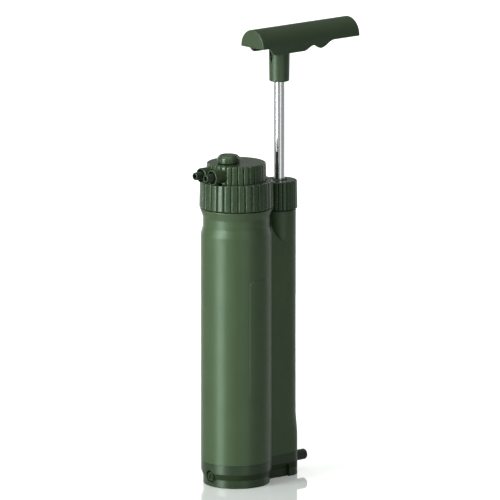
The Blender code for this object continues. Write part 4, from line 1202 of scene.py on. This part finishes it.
def make_handle():
    low = HANDLE_END_Z - HANDLE_STOCK
    size = (HANDLE_HALF_WIDTH, -HANDLE_SHORT_ARM, HANDLE_LONG_ARM, HANDLE_APEX_Z, low)
    body = half_round("handle_grip", *size)
    softened(body, HANDLE_EDGE, 4, 60)
    reach = 2 * HANDLE_HALF_WIDTH
    combined(body, "INTERSECT", prism("skirt", skirt_outline(), -reach, reach, PUMP_AXIS @ FRONT))
    hollow = half_round(
        "handle_hollow",
        HANDLE_HALF_WIDTH - HANDLE_WALL,
        -HANDLE_SHORT_ARM + HANDLE_WALL,
        HANDLE_LONG_ARM - HANDLE_WALL,
        HANDLE_APEX_Z - HANDLE_WALL,
        low - CUTTER_MARGIN,
    )
    combined(body, "DIFFERENCE", hollow)
    softened(cleaned(body), HANDLE_INNER_EDGE, 2, 50)
    outline = [
        (0, HANDLE_APEX_Z - 2 * HANDLE_WALL),
        (NECK_RADIUS_HIGH, HANDLE_APEX_Z - 2 * HANDLE_WALL),
        (NECK_RADIUS_HIGH, NECK_TAPER_TOP),
        (NECK_RADIUS_LOW, NECK_BOTTOM_Z, 0.0007),
        (0, NECK_BOTTOM_Z),
    ]
    neck = revolved("handle_neck", filleted(outline), SMALL_STEPS, PUMP_AXIS)
    rib_top = arc(0, RIB_ARC_Z, RIB_ARC_RADIUS, RIB_ARC_RADIUS, RIB_ARC_START, 180 - RIB_ARC_START, 24)
    profile = [(-RIB_HALF_WIDTH, RIB_BOTTOM), (RIB_HALF_WIDTH, RIB_BOTTOM), *rib_top]
    ribs = []
    for place in RIB_PLACES:
        near, far = place - RIB_HALF_THICKNESS, place + RIB_HALF_THICKNESS
        ribs.append(prism("handle_rib", profile, near, far, PUMP_AXIS @ ACROSS))
    combined(body, "UNION", neck, *ribs)
    bore = ROD_RADIUS + GAP
    socket = [
        (0, INSERT_TOP),
        (INSERT_SOCKET, INSERT_TOP),
        (INSERT_SOCKET, INSERT_BOTTOM),
        (bore, INSERT_BOTTOM),
        (bore, NECK_BOTTOM_Z - GAP),
        (0, NECK_BOTTOM_Z - GAP),
    ]
    notch = prism("neck_notch", NOTCH, *NOTCH_SPAN, PUMP_AXIS @ ACROSS)
    combined(body, "DIFFERENCE", revolved("insert_socket", socket, TUBE_STEPS, PUMP_AXIS), notch)
    finished(cleaned(body), "rod", "green_handle", "t_handle")


def dress_cad_nodes():
    """Every CAD node takes the look of its slot, also those that a detailed piece stands for."""
    for row in frame["record"]["subparts"]:
        node = frame["nodes"][row["node"]]
        node.data.materials.clear()
        node.data.materials.append(looks[row["material_slot"]])


# ---------------------------------------------------------------- studio


def make_floor():
    """White glossy floor. Seen in the object or lighting it, it is duller than the camera sees it."""
    shape = bmesh.new()
    bmesh.ops.create_grid(shape, x_segments=1, y_segments=1, size=FLOOR_SIZE)
    floor = object_of("studio_floor", shape)
    nodes = Nodes("studio_floor")
    path = nodes.tree.nodes.new("ShaderNodeLightPath")
    nodes.color(nodes.blend(path.outputs["Is Camera Ray"], FLOOR_BOUNCE, FLOOR_COLOR))
    nodes.rough(nodes.ranged(nodes.noise(20, 3), 0.03, 0.05))
    distance = nodes.tree.nodes.new("ShaderNodeVectorMath")
    distance.operation = "DISTANCE"
    distance.inputs[1].default_value = (OBJECT_MIDDLE.x, OBJECT_MIDDLE.y, 0)
    nodes.link(nodes.place, distance, "Vector")
    # painted light: for camera rays the floor glows, little near the object and fully further away, tinted
    # green
    glow = nodes.ranged(distance.outputs["Value"], *FLOOR_GLOW, *GLOW_REACH)
    nodes.link(nodes.product(glow, path.outputs["Is Camera Ray"]), nodes.shader, "Emission Strength")
    nodes.set(Emission_Color=GLOW_COLOR, IOR=FLOOR_IOR)
    floor.data.materials.append(nodes.material)


def placed(name, data, back, location=(0, 0, 0)):
    """Puts a lamp or a camera at a location, with its back to a direction."""
    obj = bpy.data.objects.new(name, data)
    obj.location = location
    obj.rotation_euler = back.to_track_quat("Z", "Y").to_euler()
    bpy.context.scene.collection.objects.link(obj)
    return obj


def make_sun(strength, spread, azimuth, elevation):
    """A wide even light from above. Azimuth is measured from the camera, to its right."""
    lamp = bpy.data.lights.new("ceiling", "SUN")
    lamp.energy = strength
    lamp.angle = math.radians(spread)
    placed("ceiling", lamp, toward(azimuth, elevation))


def toward(azimuth, elevation):
    """The direction at these degrees, with the azimuth measured from the camera, to its right."""
    around = CAMERA_AZIMUTH + math.radians(azimuth)
    up = math.radians(elevation)
    return Vector((math.sin(around) * math.cos(up), -math.cos(around) * math.cos(up), math.sin(up)))


def soft_box(name, azimuth, elevation, distance, size, power, color):
    """A rectangular lamp that faces the middle of the object."""
    lamp = bpy.data.lights.new(name, "AREA")
    lamp.shape = "RECTANGLE"
    lamp.size, lamp.size_y = size
    lamp.energy = power
    lamp.color = color
    back = toward(azimuth, elevation)
    box = placed(name, lamp, back, OBJECT_MIDDLE + back * distance)
    box.visible_camera = False


def make_world():
    """A white studio, brighter behind the object, and plain white where the camera sees it."""
    world = bpy.data.worlds.new("studio")
    bpy.context.scene.world = world
    world.use_nodes = True
    tree = world.node_tree
    direction = tree.nodes.new("ShaderNodeTexCoord")
    facing = tree.nodes.new("ShaderNodeVectorMath")
    facing.operation = "DOT_PRODUCT"
    facing.inputs[1].default_value = toward(*BACKDROP_DIRECTION)
    tree.links.new(direction.outputs["Generated"], facing.inputs[0])
    around = tree.nodes.new("ShaderNodeMapRange")
    around.interpolation_type = "SMOOTHSTEP"
    around.inputs["From Min"].default_value = WORLD_EDGE[0]
    around.inputs["From Max"].default_value = WORLD_EDGE[1]
    around.inputs["To Min"].default_value = WORLD_DIM
    around.inputs["To Max"].default_value = WORLD_BRIGHT
    tree.links.new(facing.outputs["Value"], around.inputs["Value"])
    path = tree.nodes.new("ShaderNodeLightPath")
    level = tree.nodes.new("ShaderNodeMapRange")
    level.inputs["To Max"].default_value = 1.0
    tree.links.new(path.outputs["Is Camera Ray"], level.inputs["Value"])
    tree.links.new(around.outputs["Result"], level.inputs["To Min"])
    background = tree.nodes["Background"]
    background.inputs["Color"].default_value = (1, 1, 1, 1)
    tree.links.new(level.outputs["Result"], background.inputs["Strength"])


def make_camera():
    camera = bpy.data.cameras.new("camera")
    camera.sensor_width = SENSOR
    camera.lens = SENSOR * CAMERA_DISTANCE / VIEW_HEIGHT
    camera.clip_end = 50
    right = Vector((math.cos(CAMERA_AZIMUTH), math.sin(CAMERA_AZIMUTH), 0))
    back = toward(0, CAMERA_ELEVATION)
    aim = right * AIM_RIGHT + back.cross(right) * AIM_UP
    bpy.context.scene.camera = placed("camera", camera, back, aim + back * CAMERA_DISTANCE)


make_camera()
make_housing()
make_base()
make_inlet()
make_drain()
make_collar()
make_head()
make_outlet_spigots()
make_knob()
make_gland()
make_rod()
make_valve_springs()
make_handle()
dress_cad_nodes()
make_floor()
make_sun(*SUN)
for lamp in SOFT_BOXES:
    soft_box(*lamp)
make_world()
bpy.context.scene.view_settings.view_transform = "Standard"
